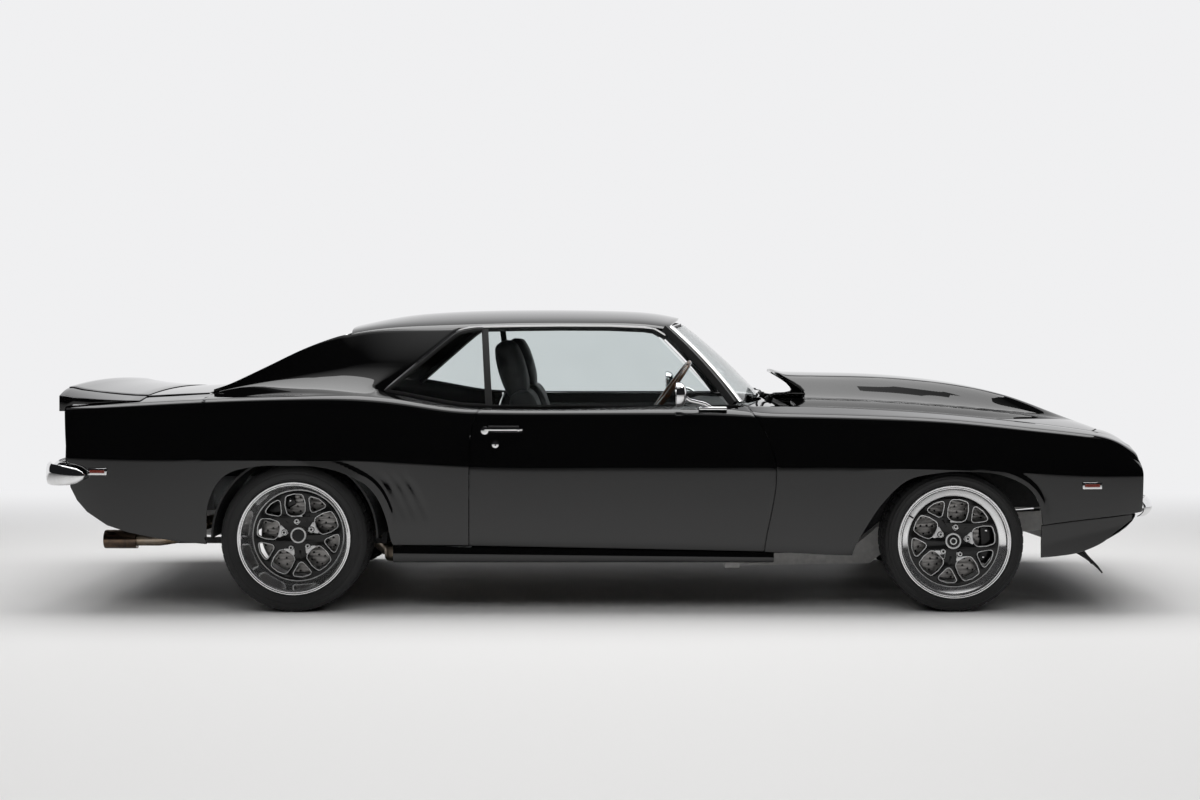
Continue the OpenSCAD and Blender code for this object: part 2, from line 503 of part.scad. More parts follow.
// The trunk floor ends on the rear valance, which bows back in the middle
trunk_floor_end = -2135.5381 + 8 * pow(axle_half / (hw - 126), 2);
module floor_pan() color("dimgray") {
    difference() {
        rotate([90, 0, 0]) translate([0, 0, -floor_half]) linear_extrude(2 * floor_half)
            polygon([[sx(812), 560], [sx(700), floor_z], [sx(-860), floor_z], [sx(-960), 470], [sx(-960), 478],
                [sx(-854), floor_z + floor_t], [sx(694), floor_z + floor_t], [sx(804), 560]]);
        translate([sx(-961), -135, floor_z - 50]) cube([sx(812) - sx(-961), 270, tunnel_top - floor_z + 42]);
    }
    // Tunnel
    translate([sx(-940), 0, 0]) rotate([90, 0, 90]) linear_extrude(sx(735) - sx(-940))
        polygon([[-tunnel_half, floor_z], [-135, floor_z], [-112, tunnel_top - 8], [112, tunnel_top - 8],
            [135, floor_z], [tunnel_half, floor_z], [118, tunnel_top], [-118, tunnel_top]]);
    // Pan over the axle and trunk floor
    rotate([90, 0, 0]) translate([0, 0, -axle_half]) linear_extrude(2 * axle_half)
        polygon([[sx(-960) - seat, 470], [sx(-1560), 480], [sx(-1640), 400], [sx(trunk_floor_end), 400],
            [sx(trunk_floor_end), 408], [sx(-1636), 408], [sx(-1556), 488], [sx(-960) - seat, 478]]);
}
// Rails under the nose with upper arm towers, crossmember, and the connectors along the floor
rail_y = 380;
rail_w = 80;
// The rails' front ends lie just above the valance, which bows forward in the middle
rail_lift = 1.0887;
rail_end_z = 307 + rail_lift + 45.5 * pow((rail_y + rail_w) / (hw - 112), 2);
module front_subframe() color("dimgray") {
    both() {
        translate([sx(560), rail_y, 0]) rotate([90, 0, 0]) translate([0, 0, -rail_w]) linear_extrude(rail_w)
            polygon([[0, 140], [sx(1140) - sx(560), 150], [sx(1240) - sx(560), 230], [sx(2150) - sx(560), rail_end_z],
                [sx(2150) - sx(560), 400], [sx(1200) - sx(560), 330], [sx(1060) - sx(560), 214], [0, 214]]);
        translate([sx(1360), rail_y, 300]) cube([160, rail_w, 150]);
    }
    translate([sx(1380), -rail_y - 1, 170]) cube([120, 2 * rail_y + 2, 80]);
    both() translate([sx(-760), hw - 380, 172]) cube([sx(561) - sx(-760), 60, floor_z - 172 - seat]);
    both() translate([sx(500), rail_y, 150]) cube([sx(561) - sx(500), hw - 320 - rail_y, 64]);
}
// Firewall, and the cowl from its top edge up to the windshield
firewall_x = 812;
cowl_z = 812;
module cowl_panel() color("black") {
    translate([sx(firewall_x), -(hw - hood_inset - seat), 560.3]) cube([10, 2 * (hw - hood_inset - seat), cowl_z - 560.3]);
    g = [for (i = [0:2]) [for (j = [0:12]) let (f = j / 6 - 1, s = i / 2,
        back = glass_base_x - (glass_base_x - glass_base_side) * f * f)
        [sx(lerp(back + 6, firewall_x + 9, s)), f * (hw - hood_inset - seat), lerp(858, cowl_z + 1, pow(s, 0.8))]]];
    shell(g, below(g, 5));
}
// Inner fenders: a wall beside the rail and a flange under the fender's inner edge; tubs round the
// rear tyres; rubber stops for the hood
apron_y = rail_y + rail_w + seat;
stop_h = 22.4;
APRON = [1000, 1180, 1360, 1560, 1760, 1960];
module wheelhouses() color("dimgray") both() {
    g = [for (x = APRON) let (zt = side(x, 9) - skin - 8) [for (p = [[apron_y + 3, x > 1600 ? 396 : 450], [apron_y + 3, zt - 90],
        [apron_y + 60, zt - 34], [hw - hood_inset - 2, zt - 14], [hw - hood_inset + 16, shelf_z(x, hw - hood_inset + 16) - skin - 3.9]])
        [sx(x), -p[0], p[1]]]];
    shell(g, inside(g, 3));
    for (x = [1100, 1900]) translate([sx(x), -(hw - hood_inset - 40), side(x, 9) - skin - stop_h])
        cylinder(h = stop_h + skin - lid_t + hood_crown * (1 - pow(1 - 40 / (hw - hood_inset), 2)) - 1.8, d = 16);
    translate([sx(rear_x), 0, rear_z]) rotate([90, 0, 0]) translate([0, 0, axle_half + seat])
        rotate_extrude(angle = 180) translate([tub_r, 0]) square([8, 340]);
}
module radiator() color("gray") translate([sx(2040), -rail_y + seat, 300]) cube([60, 2 * (rail_y - seat), 400]);
module engine_block() color("gray") translate([sx(830), -230, 250 + seat]) cube([640, 460, 480]);
module fuel_tank() color("gray") translate([sx(-1985), -300, 256]) cube([385, 600, 144 - seat]);

// Exhaust: two pipes from the engine to the tips, with mufflers, over the axle
exhaust_y = 250;
tip_y = 604;
tip_z = 272;
module run(points, d) for (i = [0:len(points) - 2]) let (a = points[i], b = points[i + 1], v = b - a) {
    translate(a) rotate([0, acos(v[2] / norm(v)), atan2(v[1], v[0])]) cylinder(h = norm(v), d = d);
    if (i > 0) translate(a) sphere(d = d + 4);
}
tip_x = -2027;
tip_l = 140;
tip_depth = 130;
tip_wall = 5;
tip_d = pipe_d + 16;
module exhaust_system() color("gray") both() {
    translate([sx(-1000), exhaust_y - 80, 140]) cube([sx(-380) - sx(-1000), 170, floor_z - 140 - seat]);
    translate([sx(-381), exhaust_y, 182]) rotate([0, 90, 0]) cylinder(h = sx(900) - sx(-381), d = pipe_d);
    run([[sx(-990), exhaust_y + 20, 186], [sx(-1130), exhaust_y + 40, 340], [sx(-1306), exhaust_y + 60, 428],
        [sx(-1500), exhaust_y + 110, 362], [sx(-1690), 450, 346], [sx(-1810), 596, 306],
        [sx(-1890), tip_y, tip_z], [sx(tip_x) - tip_l + tip_depth, tip_y, tip_z]], pipe_d);
    translate([sx(tip_x), tip_y, tip_z]) rotate([0, -90, 0]) difference() {
        cylinder(h = tip_l, d = tip_d);
        translate([0, 0, tip_l - tip_depth]) cylinder(h = tip_depth + 1, d = tip_d - 2 * tip_wall);
    }
}

// Rear axle: housing, driveshaft and the two leaf springs that carry it
module rear_axle() color("dimgray") {
    translate([sx(rear_x), 0, rear_z]) rotate([90, 0, 0]) cylinder(h = 2 * (disc_in_rear - hub_gap), d = 80, center = true);
    translate([sx(rear_x), 0, rear_z]) sphere(d = 240);
    translate([sx(rear_x) + 90, 0, rear_z]) rotate([0, 92, 0]) cylinder(h = sx(828) - sx(rear_x) - 90, d = 76);
    both() {
        translate([sx(rear_x) - 640, 486, rear_z - 62]) cube([640 + 343, 50, 22]);
        translate([sx(rear_x) - 50, 480, rear_z - 42]) cube([100, 62, 30]);
        translate([sx(rear_x) - 640, 486, rear_z - 62]) cube([22, 50, 154 - seat]);
        translate([sx(rear_x) + 321, 486, rear_z - 62]) cube([22, 50, 224 - seat]);
        // Brake caliper
        translate([sx(rear_x) - 150, disc_in_rear - hub_gap - 34, rear_z - 50]) cube([60, 34, 100]);
        translate([sx(rear_x) - 100, disc_in_rear - hub_gap - 34, rear_z - 20]) cube([100, 16, 40]);
    }
}
// Control arms from the rail and its tower to the knuckle's ball joints
module arm(x0, x1, inner_y, outer_y, z, h) hull() {
    for (x = [x0, x1]) translate([sx(x), inner_y + 22, z]) cylinder(h = h, d = 44, $fn = 16);
    translate([sx(front_x), outer_y, z]) cylinder(h = h, d = 40, $fn = 16);
}
module front_control_arms() color("dimgray") both() {
    arm(1340, 1550, apron_y, kingpin_y, 186, 26);
    arm(1385, 1495, apron_y, kingpin_y, 400, 22);
}

// Seats
seat_y = 395;
seat_w = 450;
module front_seats() color("black") both() translate([0, seat_y + seat_w / 2, 0])
    rotate([90, 0, 0]) linear_extrude(seat_w)
        polygon([[sx(0) + 200, floor_z + floor_t + seat], [sx(0) + 215, 440], [sx(0) - 150, 420],
            [sx(0) - 300, 840], [sx(0) - 400, 1138], [sx(0) - 480, 1130], [sx(0) - 400, 800],
            [sx(0) - 330, 300], [sx(0) - 300, floor_z + floor_t + seat]]);
module bench(points) translate([0, axle_half, 0]) rotate([90, 0, 0]) linear_extrude(2 * axle_half) polygon(points);
module rear_seat() color("black") {
    difference() {
        bench([[sx(-620), floor_z + floor_t + seat], [sx(-585), 430], [sx(-700), 450], [sx(-890), 436],
            [sx(-842), floor_z + floor_t + seat]]);
        translate([sx(-990), -tunnel_half - 2, floor_z - 10])
            cube([420, 2 * tunnel_half + 4, tunnel_top + seat + 10 - floor_z]);
    }
    bench([[sx(-890) - seat, 436 + seat], [sx(-1110), 850], [sx(-1210), 850], [sx(-1090), 492], [sx(-952), 492]]);
}
dash_x = 370;
module dashboard() color("black") translate([0, hw - hood_inset - seat, 0]) rotate([90, 0, 0])
    linear_extrude(2 * (hw - hood_inset - seat)) polygon([[sx(640), 834], [sx(440), 842], [sx(dash_x), 820],
        [sx(360), 700], [sx(420), 620], [sx(640), 600], [sx(firewall_x) - seat, 600],
        [sx(firewall_x) - seat, 690], [sx(640), 700]]);
wheel_tilt = -54;
wheel_reach = 90;
column_l = 102.4;
hub_h = 22;
module steering_wheel() color("saddlebrown") translate([sx(dash_x) - wheel_reach, 380, 870]) rotate([0, wheel_tilt, 0]) {
    rotate_extrude() translate([172, 0]) circle(d = 26);
    for (a = [0, 120, 240]) rotate([0, 0, a]) translate([40, -11, -3]) cube([122, 22, 6]);
    translate([0, 0, -hub_h]) cylinder(h = hub_h + 4, d = 90);
    translate([0, 0, -column_l]) cylinder(h = column_l - hub_h + 1, d = 44);
}

// Wheels
lip_d = 472;
rim_t = 9;
lug_pcd = 120.65;
module rim(w) rotate([90, 0, 0]) rotate_extrude($fn = 96)
    polygon([[lip_d / 2, 0], [lip_d / 2, -7], [rim_d / 2 - 1, -9], [rim_d / 2 - 1, -w + 9],
        [lip_d / 2, -w + 7], [lip_d / 2, -w], [rim_d / 2 - 1 - rim_t, -w], [rim_d / 2 - 1 - rim_t, -2],
        [lip_d / 2 - 8, 0]]);
// Spokes: five stems, each forked to the rim
module spokes(dish, turn) translate([0, dish + spoke_t, 0]) rotate([90, 0, 0]) rotate([0, 0, turn])
    difference() {
        cylinder(h = spoke_t, r = rim_d / 2 - 5);
        for (k = [0:4]) rotate([0, 0, k * 72]) {
            translate([0, 0, -1]) linear_extrude(spoke_t + 2)
                polygon([[92, -34], [200, -50], [205, -30], [207, 0], [205, 30], [200, 50], [92, 34]]);
            rotate([0, 0, 36]) translate([0, 0, -1]) linear_extrude(spoke_t + 2)
                polygon([[138, -8], [196, -46], [204, -30], [207, 0], [204, 30], [196, 46], [138, 8]]);
            translate([lug_pcd / 2, 0, spoke_t - 14]) cylinder(h = 20, d = 22);
        }
    }
module wheel(dish, w, turn) {
    rim(w);
    spokes(dish, turn);
    // Hub and brake disc behind the spokes
    translate([0, dish + spoke_t - 2, 0]) rotate([-90, 0, 0]) cylinder(h = disc_gap + 12, d = 150);
    translate([0, dish + spoke_t + disc_gap, 0]) rotate([-90, 0, 0]) cylinder(h = disc_t, d = disc_d);
    // Centre cap
    translate([0, dish + 1, 0]) rotate([90, 0, 0]) cylinder(h = 12, d = 62);
}
front_rim_w = 236;
rear_rim_w = 304;
module front_wheel() color("dimgray") translate([sx(front_x), -rim_y_front, front_z])
    wheel(front_dish, front_rim_w, 9);
module rear_wheel() color("dimgray") translate([sx(rear_x), -rim_y_rear, rear_z])
    wheel(rear_dish, rear_rim_w, 24);
module wheel_front_right() front_wheel();
module wheel_front_left() mirror([0, 1, 0]) front_wheel();
module wheel_rear_right() rear_wheel();
module wheel_rear_left() mirror([0, 1, 0]) rear_wheel();

// Tyre: bead, sidewall, rounded shoulder and tread on each side
module tyre(d, w, rim_w) rotate([90, 0, 0]) {
    r0 = rim_d / 2 - 1 + seat;
    b = rim_w / 2 - 9 - seat;
    h = w / 2;
    // Sidewall points. Columns: radius, distance from the middle
    half = [[r0, b], [lip_d / 2 + 3, b], [lip_d / 2 + 3, b + 8], [lerp(lip_d, d, 0.45) / 2, h],
        [d / 2 - 16, h - 8], [d / 2 - 4, h - 22], [d / 2, h - 40]];
    rotate_extrude($fn = 128) polygon([for (p = half) p,
        for (i = [len(half) - 1:-1:0]) [half[i][0], -half[i][1]]]);
}
module front_tyre() color([0.12, 0.12, 0.12])
    translate([sx(front_x), -rim_y_front + front_rim_w / 2, front_z]) tyre(front_tyre_d, front_tyre_w, front_rim_w);
module rear_tyre() color([0.12, 0.12, 0.12])
    translate([sx(rear_x), -rim_y_rear + rear_rim_w / 2, rear_z]) tyre(rear_tyre_d, rear_tyre_w, rear_rim_w);
module tyre_front_right() front_tyre();
module tyre_front_left() mirror([0, 1, 0]) front_tyre();
module tyre_rear_right() rear_tyre();
module tyre_rear_left() mirror([0, 1, 0]) rear_tyre();

// Knuckle behind the front wheel: hub carrier, upright with its ball joint pins, brake caliper
module knuckle_right() color("black") translate([sx(front_x), -disc_in_front + hub_gap, front_z]) {
    rotate([-90, 0, 0]) cylinder(h = 34, d = 110);
    translate([-24, 30, 186 + 26 + hub_gap - front_z]) cube([48, 32, 400 - 186 - 26 - 2 * hub_gap]);
    translate([108, 0, -62]) cube([52, 34, 124]);
    translate([20, 18, -20]) cube([100, 16, 40]);
}
module knuckle_left() mirror([0, 1, 0]) knuckle_right();

floor_pan();
front_subframe();
rockers();
cowl_panel();
front_fender_left();
front_fender_right();
quarter_panel_left();
quarter_panel_right();
roof_panel();
windshield_frame();
tail_panel();
front_valance();
nose_panel();
grille();
front_bumper();
rear_bumper();
radiator();
wheelhouses();
windshield();
rear_window();
quarter_glass();
headlamps();
tail_lamps();
engine_block();
fuel_tank();
exhaust_system();
rear_axle();
front_control_arms();
front_seats();
rear_seat();
dashboard();
steering_wheel();
door_left();
door_right();
door_glass_left();
door_glass_right();
mirror_left();
mirror_right();
hood();
trunk_lid();
spoiler();
spoiler_ends();
knuckle_left();
knuckle_right();
wheel_front_left();
wheel_front_right();
wheel_rear_left();
wheel_rear_right();
tyre_front_left();
tyre_front_right();
tyre_rear_left();
tyre_rear_right();
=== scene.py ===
import math

import bmesh
import bpy
from bpy.props import FloatProperty, FloatVectorProperty, IntProperty, PointerProperty
from bpy.types import Operator, Panel, PropertyGroup
from mathutils import Matrix, Vector


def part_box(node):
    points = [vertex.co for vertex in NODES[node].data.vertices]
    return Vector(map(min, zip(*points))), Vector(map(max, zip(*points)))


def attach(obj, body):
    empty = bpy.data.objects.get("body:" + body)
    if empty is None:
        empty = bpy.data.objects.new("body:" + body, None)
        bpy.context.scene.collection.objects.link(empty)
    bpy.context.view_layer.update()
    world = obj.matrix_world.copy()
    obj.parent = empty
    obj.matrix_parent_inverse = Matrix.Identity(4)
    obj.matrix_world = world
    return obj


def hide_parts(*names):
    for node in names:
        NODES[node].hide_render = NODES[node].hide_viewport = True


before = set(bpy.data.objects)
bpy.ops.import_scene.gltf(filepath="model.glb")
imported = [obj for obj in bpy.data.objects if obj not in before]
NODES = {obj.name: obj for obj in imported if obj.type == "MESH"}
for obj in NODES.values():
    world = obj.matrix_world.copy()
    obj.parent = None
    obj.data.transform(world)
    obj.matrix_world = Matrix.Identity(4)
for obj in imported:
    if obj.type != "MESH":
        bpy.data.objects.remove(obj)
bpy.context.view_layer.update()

bl_info = {
    "name": "Muscle car",
    "version": (1, 0, 0),
    "blender": (4, 5, 0),
    "location": "3D view > Sidebar > Muscle car",
    "description": "Builds the body, glass, trim, wheels and cabin of a lowered black coupe on its frame",
    "category": "Object",
}

# Lengths below are in millimetres and become metres when a mesh is made
MM = 0.001


def box_mm(node):
    low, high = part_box(node)
    return low / MM, high / MM


HALF_W = -box_mm("quarter_panel_right")[0].y
SIDES = (("right", 1), ("left", -1))


# ---- Sizes and colours ----

class CarSizes(PropertyGroup):
    panel_t: FloatProperty(name="Panel thickness", description="Thickness of the pressed panels",
        default=9 * MM, min=0.002, max=0.02, unit="LENGTH")
    panel_edge: FloatProperty(name="Panel edge", description="Rounding of a panel's edges", default=2 * MM,
        min=0.0005, max=0.005, unit="LENGTH")
    trim_d: FloatProperty(name="Trim", description="Width of the thin bright trim", default=7 * MM,
        min=0.002, max=0.02, unit="LENGTH")
    gill_depth: FloatProperty(name="Gill depth", description="Depth of the three gills in each rear fender",
        default=7 * MM, min=0.0, max=0.02, unit="LENGTH")
    tread_depth: FloatProperty(name="Tread depth", description="Depth of the grooves in the tyres",
        default=6 * MM, min=0.001, max=0.012, unit="LENGTH")
    disc_holes: IntProperty(name="Disc holes", description="Drilled holes in each ring of a brake disc",
        default=20, min=8, max=40)
    seat_puff: FloatProperty(name="Seat padding", description="How far a seat's padding may swell",
        default=14 * MM, min=0.0, max=0.03, unit="LENGTH")


class CarColours(PropertyGroup):
    paint: FloatVectorProperty(name="Paint", description="Colour of the body", subtype="COLOR", size=4,
        default=(0.0015, 0.0015, 0.0017, 1))
    glass: FloatVectorProperty(name="Glass", description="Tint of the glass", subtype="COLOR", size=4,
        default=(0.80, 0.835, 0.835, 1))
    leather: FloatVectorProperty(name="Seats", description="Colour of the seats", subtype="COLOR", size=4,
        default=(0.010, 0.010, 0.011, 1))
    wood: FloatVectorProperty(name="Wood", description="Colour of the steering wheel's rim",
        subtype="COLOR", size=4, default=(0.19, 0.065, 0.022, 1))
    # The frame's pale grey is partly its coat's own colour and partly painted light: it is set light so the
    # frame strip under the sill shows bright though it lies in shade
    frame_coat: FloatVectorProperty(name="Frame", description="Colour of the frame connectors",
        subtype="COLOR", size=4, default=(0.70, 0.69, 0.67, 1))
    backdrop: FloatVectorProperty(name="Backdrop", description="Colour of floor and backdrop",
        subtype="COLOR", size=4, default=(0.80, 0.795, 0.79, 1))


def sizes():
    return bpy.context.scene.car_sizes


def colours():
    return bpy.context.scene.car_colours


# ---- Node groups and materials ----

def new_group(name, inputs, outputs):
    """A shader node group with named sockets: inputs as (name, kind, default)."""
    group = bpy.data.node_groups.new(name, "ShaderNodeTree")
    for label, kind, value in inputs:
        socket = group.interface.new_socket(label, in_out="INPUT", socket_type=kind)
        if value is not None:
            socket.default_value = value
    for label, kind in outputs:
        group.interface.new_socket(label, in_out="OUTPUT", socket_type=kind)
    nodes = group.nodes
    return group, nodes.new("NodeGroupInput"), nodes.new("NodeGroupOutput")


def speckle_group():
    """Fine even noise on Object coordinates: a mask for flake, casting grain, dust or orange peel."""
    group, source, result = new_group(
        "Speckle",
        [("Scale", "NodeSocketFloat", 400.0), ("Low", "NodeSocketFloat", 0.3),
            ("High", "NodeSocketFloat", 0.7), ("Stretch", "NodeSocketVector", (1.0, 1.0, 1.0))],
        [("Mask", "NodeSocketFloat")])
    nodes, links = group.nodes, group.links
    place = nodes.new("ShaderNodeTexCoord")
    stretch = nodes.new("ShaderNodeVectorMath")
    stretch.operation = "MULTIPLY"
    noise = nodes.new("ShaderNodeTexNoise")
    noise.inputs["Detail"].default_value = 3
    spread = nodes.new("ShaderNodeMapRange")
    links.new(place.outputs["Object"], stretch.inputs[0])
    links.new(source.outputs["Stretch"], stretch.inputs[1])
    links.new(stretch.outputs[0], noise.inputs["Vector"])
    links.new(source.outputs["Scale"], noise.inputs["Scale"])
    links.new(noise.outputs["Fac"], spread.inputs["Value"])
    links.new(source.outputs["Low"], spread.inputs["From Min"])
    links.new(source.outputs["High"], spread.inputs["From Max"])
    links.new(spread.outputs["Result"], result.inputs["Mask"])
    return group


def shade_group():
    """Mixes two colours and two roughnesses by a mask."""
    group, source, result = new_group(
        "Shade by mask",
        [("Mask", "NodeSocketFloat", 0.0), ("Colour A", "NodeSocketColor", None),
            ("Colour B", "NodeSocketColor", None), ("Rough A", "NodeSocketFloat", 0.5),
            ("Rough B", "NodeSocketFloat", 0.5)],
        [("Colour", "NodeSocketColor"), ("Roughness", "NodeSocketFloat")])
    nodes, links = group.nodes, group.links
    colour = nodes.new("ShaderNodeMix")
    colour.data_type = "RGBA"
    rough = nodes.new("ShaderNodeMix")
    rough.data_type = "FLOAT"
    links.new(source.outputs["Mask"], colour.inputs[0])
    links.new(source.outputs["Mask"], rough.inputs[0])
    links.new(source.outputs["Colour A"], colour.inputs[6])
    links.new(source.outputs["Colour B"], colour.inputs[7])
    links.new(source.outputs["Rough A"], rough.inputs[2])
    links.new(source.outputs["Rough B"], rough.inputs[3])
    links.new(colour.outputs[2], result.inputs["Colour"])
    links.new(rough.outputs[0], result.inputs["Roughness"])
    return group


def group_node(tree, name):
    node = tree.nodes.new("ShaderNodeGroup")
    node.node_tree = bpy.data.node_groups.get(name) or {"Speckle": speckle_group,
        "Shade by mask": shade_group}[name]()
    return node


def material(name, colour_a, colour_b, rough, scale=300, spread=(0.35, 0.65), bump=0.0, stretch=(1, 1, 1),
        **constants):
    """A finish whose colour, roughness and fine relief follow one speckle; constants go on the shader."""
    found = bpy.data.materials.get(name)
    if found:
        return found
    made = bpy.data.materials.new(name)
    made.use_nodes = True
    tree = made.node_tree
    shader = tree.nodes["Principled BSDF"]
    for socket, value in constants.items():
        shader.inputs[socket.replace("_", " ")].default_value = value
    speckle = group_node(tree, "Speckle")
    speckle.inputs["Scale"].default_value = scale
    speckle.inputs["Low"].default_value, speckle.inputs["High"].default_value = spread
    speckle.inputs["Stretch"].default_value = stretch
    shade = group_node(tree, "Shade by mask")
    tree.links.new(speckle.outputs["Mask"], shade.inputs["Mask"])
    shade.inputs["Colour A"].default_value = (*colour_a[:3], 1)
    shade.inputs["Colour B"].default_value = (*colour_b[:3], 1)
    shade.inputs["Rough A"].default_value, shade.inputs["Rough B"].default_value = rough
    tree.links.new(shade.outputs["Colour"], shader.inputs["Base Color"])
    tree.links.new(shade.outputs["Roughness"], shader.inputs["Roughness"])
    if bump:
        relief = tree.nodes.new("ShaderNodeBump")
        relief.inputs["Strength"].default_value = bump
        relief.inputs["Distance"].default_value = 0.001
        tree.links.new(speckle.outputs["Mask"], relief.inputs["Height"])
        tree.links.new(relief.outputs["Normal"], shader.inputs["Normal"])
    return made


def grey(v, tint=(1, 1, 1)):
    return tuple(v * t for t in tint)


def gloss_paint():
    c = colours().paint
    return material("Gloss black paint", c, grey(0.0025), (0.3, 0.4), 900, Specular_IOR_Level=0.0,
        Coat_Weight=1.0, Coat_Roughness=0.008, Coat_IOR=1.58)


def satin_black():
    return material("Satin black", grey(0.010), grey(0.016), (0.42, 0.55), 500, bump=0.15)


def trim_black():
    return material("Black rubber seal", grey(0.008), grey(0.014), (0.55, 0.7), 600, bump=0.2)


def chrome():
    return material("Polished chrome", grey(0.78), grey(0.84, (1, 1, 1.01)), (0.035, 0.07), 60,
        Metallic=1.0)


def polished_lip():
    return material("Polished rim", grey(0.84), grey(0.9, (1, 1, 1.01)), (0.07, 0.12), 8, Metallic=0.92)


def machined():
    return material("Machined edge", grey(0.74), grey(0.82), (0.32, 0.42), 900, Metallic=0.3)


def spoke_black():
    return material("Black spokes", grey(0.003), grey(0.006), (0.4, 0.5), 700, Specular_IOR_Level=0.15,
        Coat_Weight=0.5, Coat_Roughness=0.08)


def disc_steel():
    return material("Brake disc steel", grey(0.3, (1, 0.97, 0.94)), grey(0.36, (1, 0.97, 0.94)),
        (0.3, 0.42), 350, bump=0.1, Metallic=0.85)


def tyre_rubber():
    return material("Tyre rubber", grey(0.010), grey(0.020, (1, 1, 1.02)), (0.55, 0.75), 260, bump=0.35)


def glass_tint():
    c = colours().glass
    return material("Tinted glass", c, tuple(v * 0.97 for v in c[:3]), (0.0, 0.01), 3,
        Transmission_Weight=1.0, IOR=1.12, Specular_IOR_Level=0.9)


def clear_lens():
    return material("Fluted lamp glass", grey(0.9), grey(0.95), (0.03, 0.08), 30, bump=0.6,
        stretch=(1, 8, 0.2), Transmission_Weight=1.0, IOR=1.3)


def red_lens():
    return material("Red lens", (0.26, 0.010, 0.008), (0.36, 0.014, 0.010), (0.1, 0.16), 120, bump=0.4,
        stretch=(1, 4, 1), Coat_Weight=0.8)


def marker_lens():
    return material("Marker lens", (0.16, 0.018, 0.010), (0.24, 0.030, 0.014), (0.16, 0.24), 200, bump=0.4,
        Coat_Weight=0.6)


def leather():
    c = colours().leather
    return material("Black leather", c, grey(0.022), (0.42, 0.6), 520, bump=0.7, Sheen_Weight=0.08)


def varnished_wood():
    c = colours().wood
    return material("Varnished wood", c, tuple(v * 0.35 for v in c[:3]), (0.22, 0.35), 60, (0.3, 0.7), 0.15,
        (1, 6, 1), Coat_Weight=0.8, Coat_Roughness=0.06)


def dash_black():
    return material("Grained dashboard", grey(0.012), grey(0.022), (0.5, 0.68), 640, bump=0.6)


def carpet():
    return material("Black carpet", grey(0.008), grey(0.022), (0.9, 1.0), 900, bump=1.0, Sheen_Weight=0.2)


def headliner():
    return material("Black headliner", grey(0.014), grey(0.02), (0.8, 0.95), 800, bump=0.6)


def underbody():
    return material("Satin underbody coat", grey(0.020), grey(0.034), (0.55, 0.8), 90, bump=0.6)


# Frame finish: a grey coat, set lighter as painted light so the frame strip in the shade under the sill shows
# bright
def frame_coat():
    c = colours().frame_coat
    return material("Grey frame coat with painted light", c, tuple(v * 0.8 for v in c[:3]), (0.32, 0.45), 45, (0.3, 0.75), 0.1)


def cast_iron():
    return material("Black casting", grey(0.018), grey(0.045), (0.5, 0.75), 240, bump=0.8)


def engine_grey():
    return material("Engine casting", grey(0.08), grey(0.14), (0.5, 0.7), 180, bump=0.8, Metallic=0.3)


def warm_steel():
    return material("Heat-tinted steel", (0.40, 0.30, 0.20), (0.50, 0.44, 0.38), (0.25, 0.4), 14,
        (0.3, 0.7), 0.1, (1, 1, 1), Metallic=1.0)


def plated_steel():
    return material("Plated tank steel", grey(0.34), grey(0.46), (0.35, 0.5), 50, bump=0.15, Metallic=1.0)


def radiator_core():
    return material("Radiator core", grey(0.10), grey(0.34), (0.4, 0.55), 700, (0.45, 0.55), 0.8,
        (0.2, 0.2, 2.0), Metallic=0.8)


def bronze_tip():
    return material("Bronze tip", (0.16, 0.11, 0.075), (0.10, 0.075, 0.06), (0.15, 0.24), 60, Metallic=1.0)


# ---- Mesh helpers ----

def lerp(a, b, t):
    return a + (b - a) * t


def smooth(t):
    t = min(1.0, max(0.0, t))
    return t * t * (3 - 2 * t)


def look(table, x, c=1):
    """Smooth look-up of column c in a table whose first column rises."""
    i = 0
    while i < len(table) - 2 and x >= table[i + 1][0]:
        i += 1

    def rise(k):
        a, b = max(k - 1, 0), min(k + 1, len(table) - 1)
        return (table[b][c] - table[a][c]) / (table[b][0] - table[a][0])

    h = table[i + 1][0] - table[i][0]
    s = min(1.0, max(0.0, (x - table[i][0]) / h))
    return (table[i][c] * (1 + 2 * s) * (1 - s) ** 2 + rise(i) * h * s * (1 - s) ** 2
            + table[i + 1][c] * s * s * (3 - 2 * s) + rise(i + 1) * h * s * s * (s - 1))


def spline(table, c):
    """A curve with no kinks through column c of a table whose first column rises."""
    xs, ys = [r[0] for r in table], [r[c] for r in table]
    n = len(xs)
    h = [xs[i + 1] - xs[i] for i in range(n - 1)]
    slope = [(ys[i + 1] - ys[i]) / h[i] for i in range(n - 1)]
    up, right = [0.0] * n, [0.0] * n
    for i in range(1, n - 1):
        d = 2 * (h[i - 1] + h[i]) - h[i - 1] * up[i - 1]
        up[i] = h[i] / d
        right[i] = (6 * (slope[i] - slope[i - 1]) - h[i - 1] * right[i - 1]) / d
    bend = [0.0] * n
    for i in range(n - 2, 0, -1):
        bend[i] = right[i] - up[i] * bend[i + 1]

    def at(x):
        i = 0
        while i < n - 2 and x >= xs[i + 1]:
            i += 1
        t = min(h[i], max(0.0, x - xs[i]))
        return (ys[i] + t * (slope[i] - h[i] * (2 * bend[i] + bend[i + 1]) / 6)
                + t * t * bend[i] / 2 + t ** 3 * (bend[i + 1] - bend[i]) / (6 * h[i]))
    return at


def spread(*stops, step):
    """Numbers from stop to stop, about step apart, each stop kept."""
    out = [stops[0]]
    for a, b in zip(stops, stops[1:]):
        n = max(1, round(abs(b - a) / step))
        out += [lerp(a, b, k / n) for k in range(1, n + 1)]
    return out


def make(name, points, faces, finish):
    mesh = bpy.data.meshes.new(name)
    mesh.from_pydata([Vector(p) * MM for p in points], [], faces)
    mesh.materials.append(finish)
    made = bpy.data.objects.new(name, mesh)
    bpy.context.scene.collection.objects.link(made)
    return made


def select(obj):
    bpy.ops.object.select_all(action="DESELECT")
    obj.select_set(True)
    bpy.context.view_layer.objects.active = obj


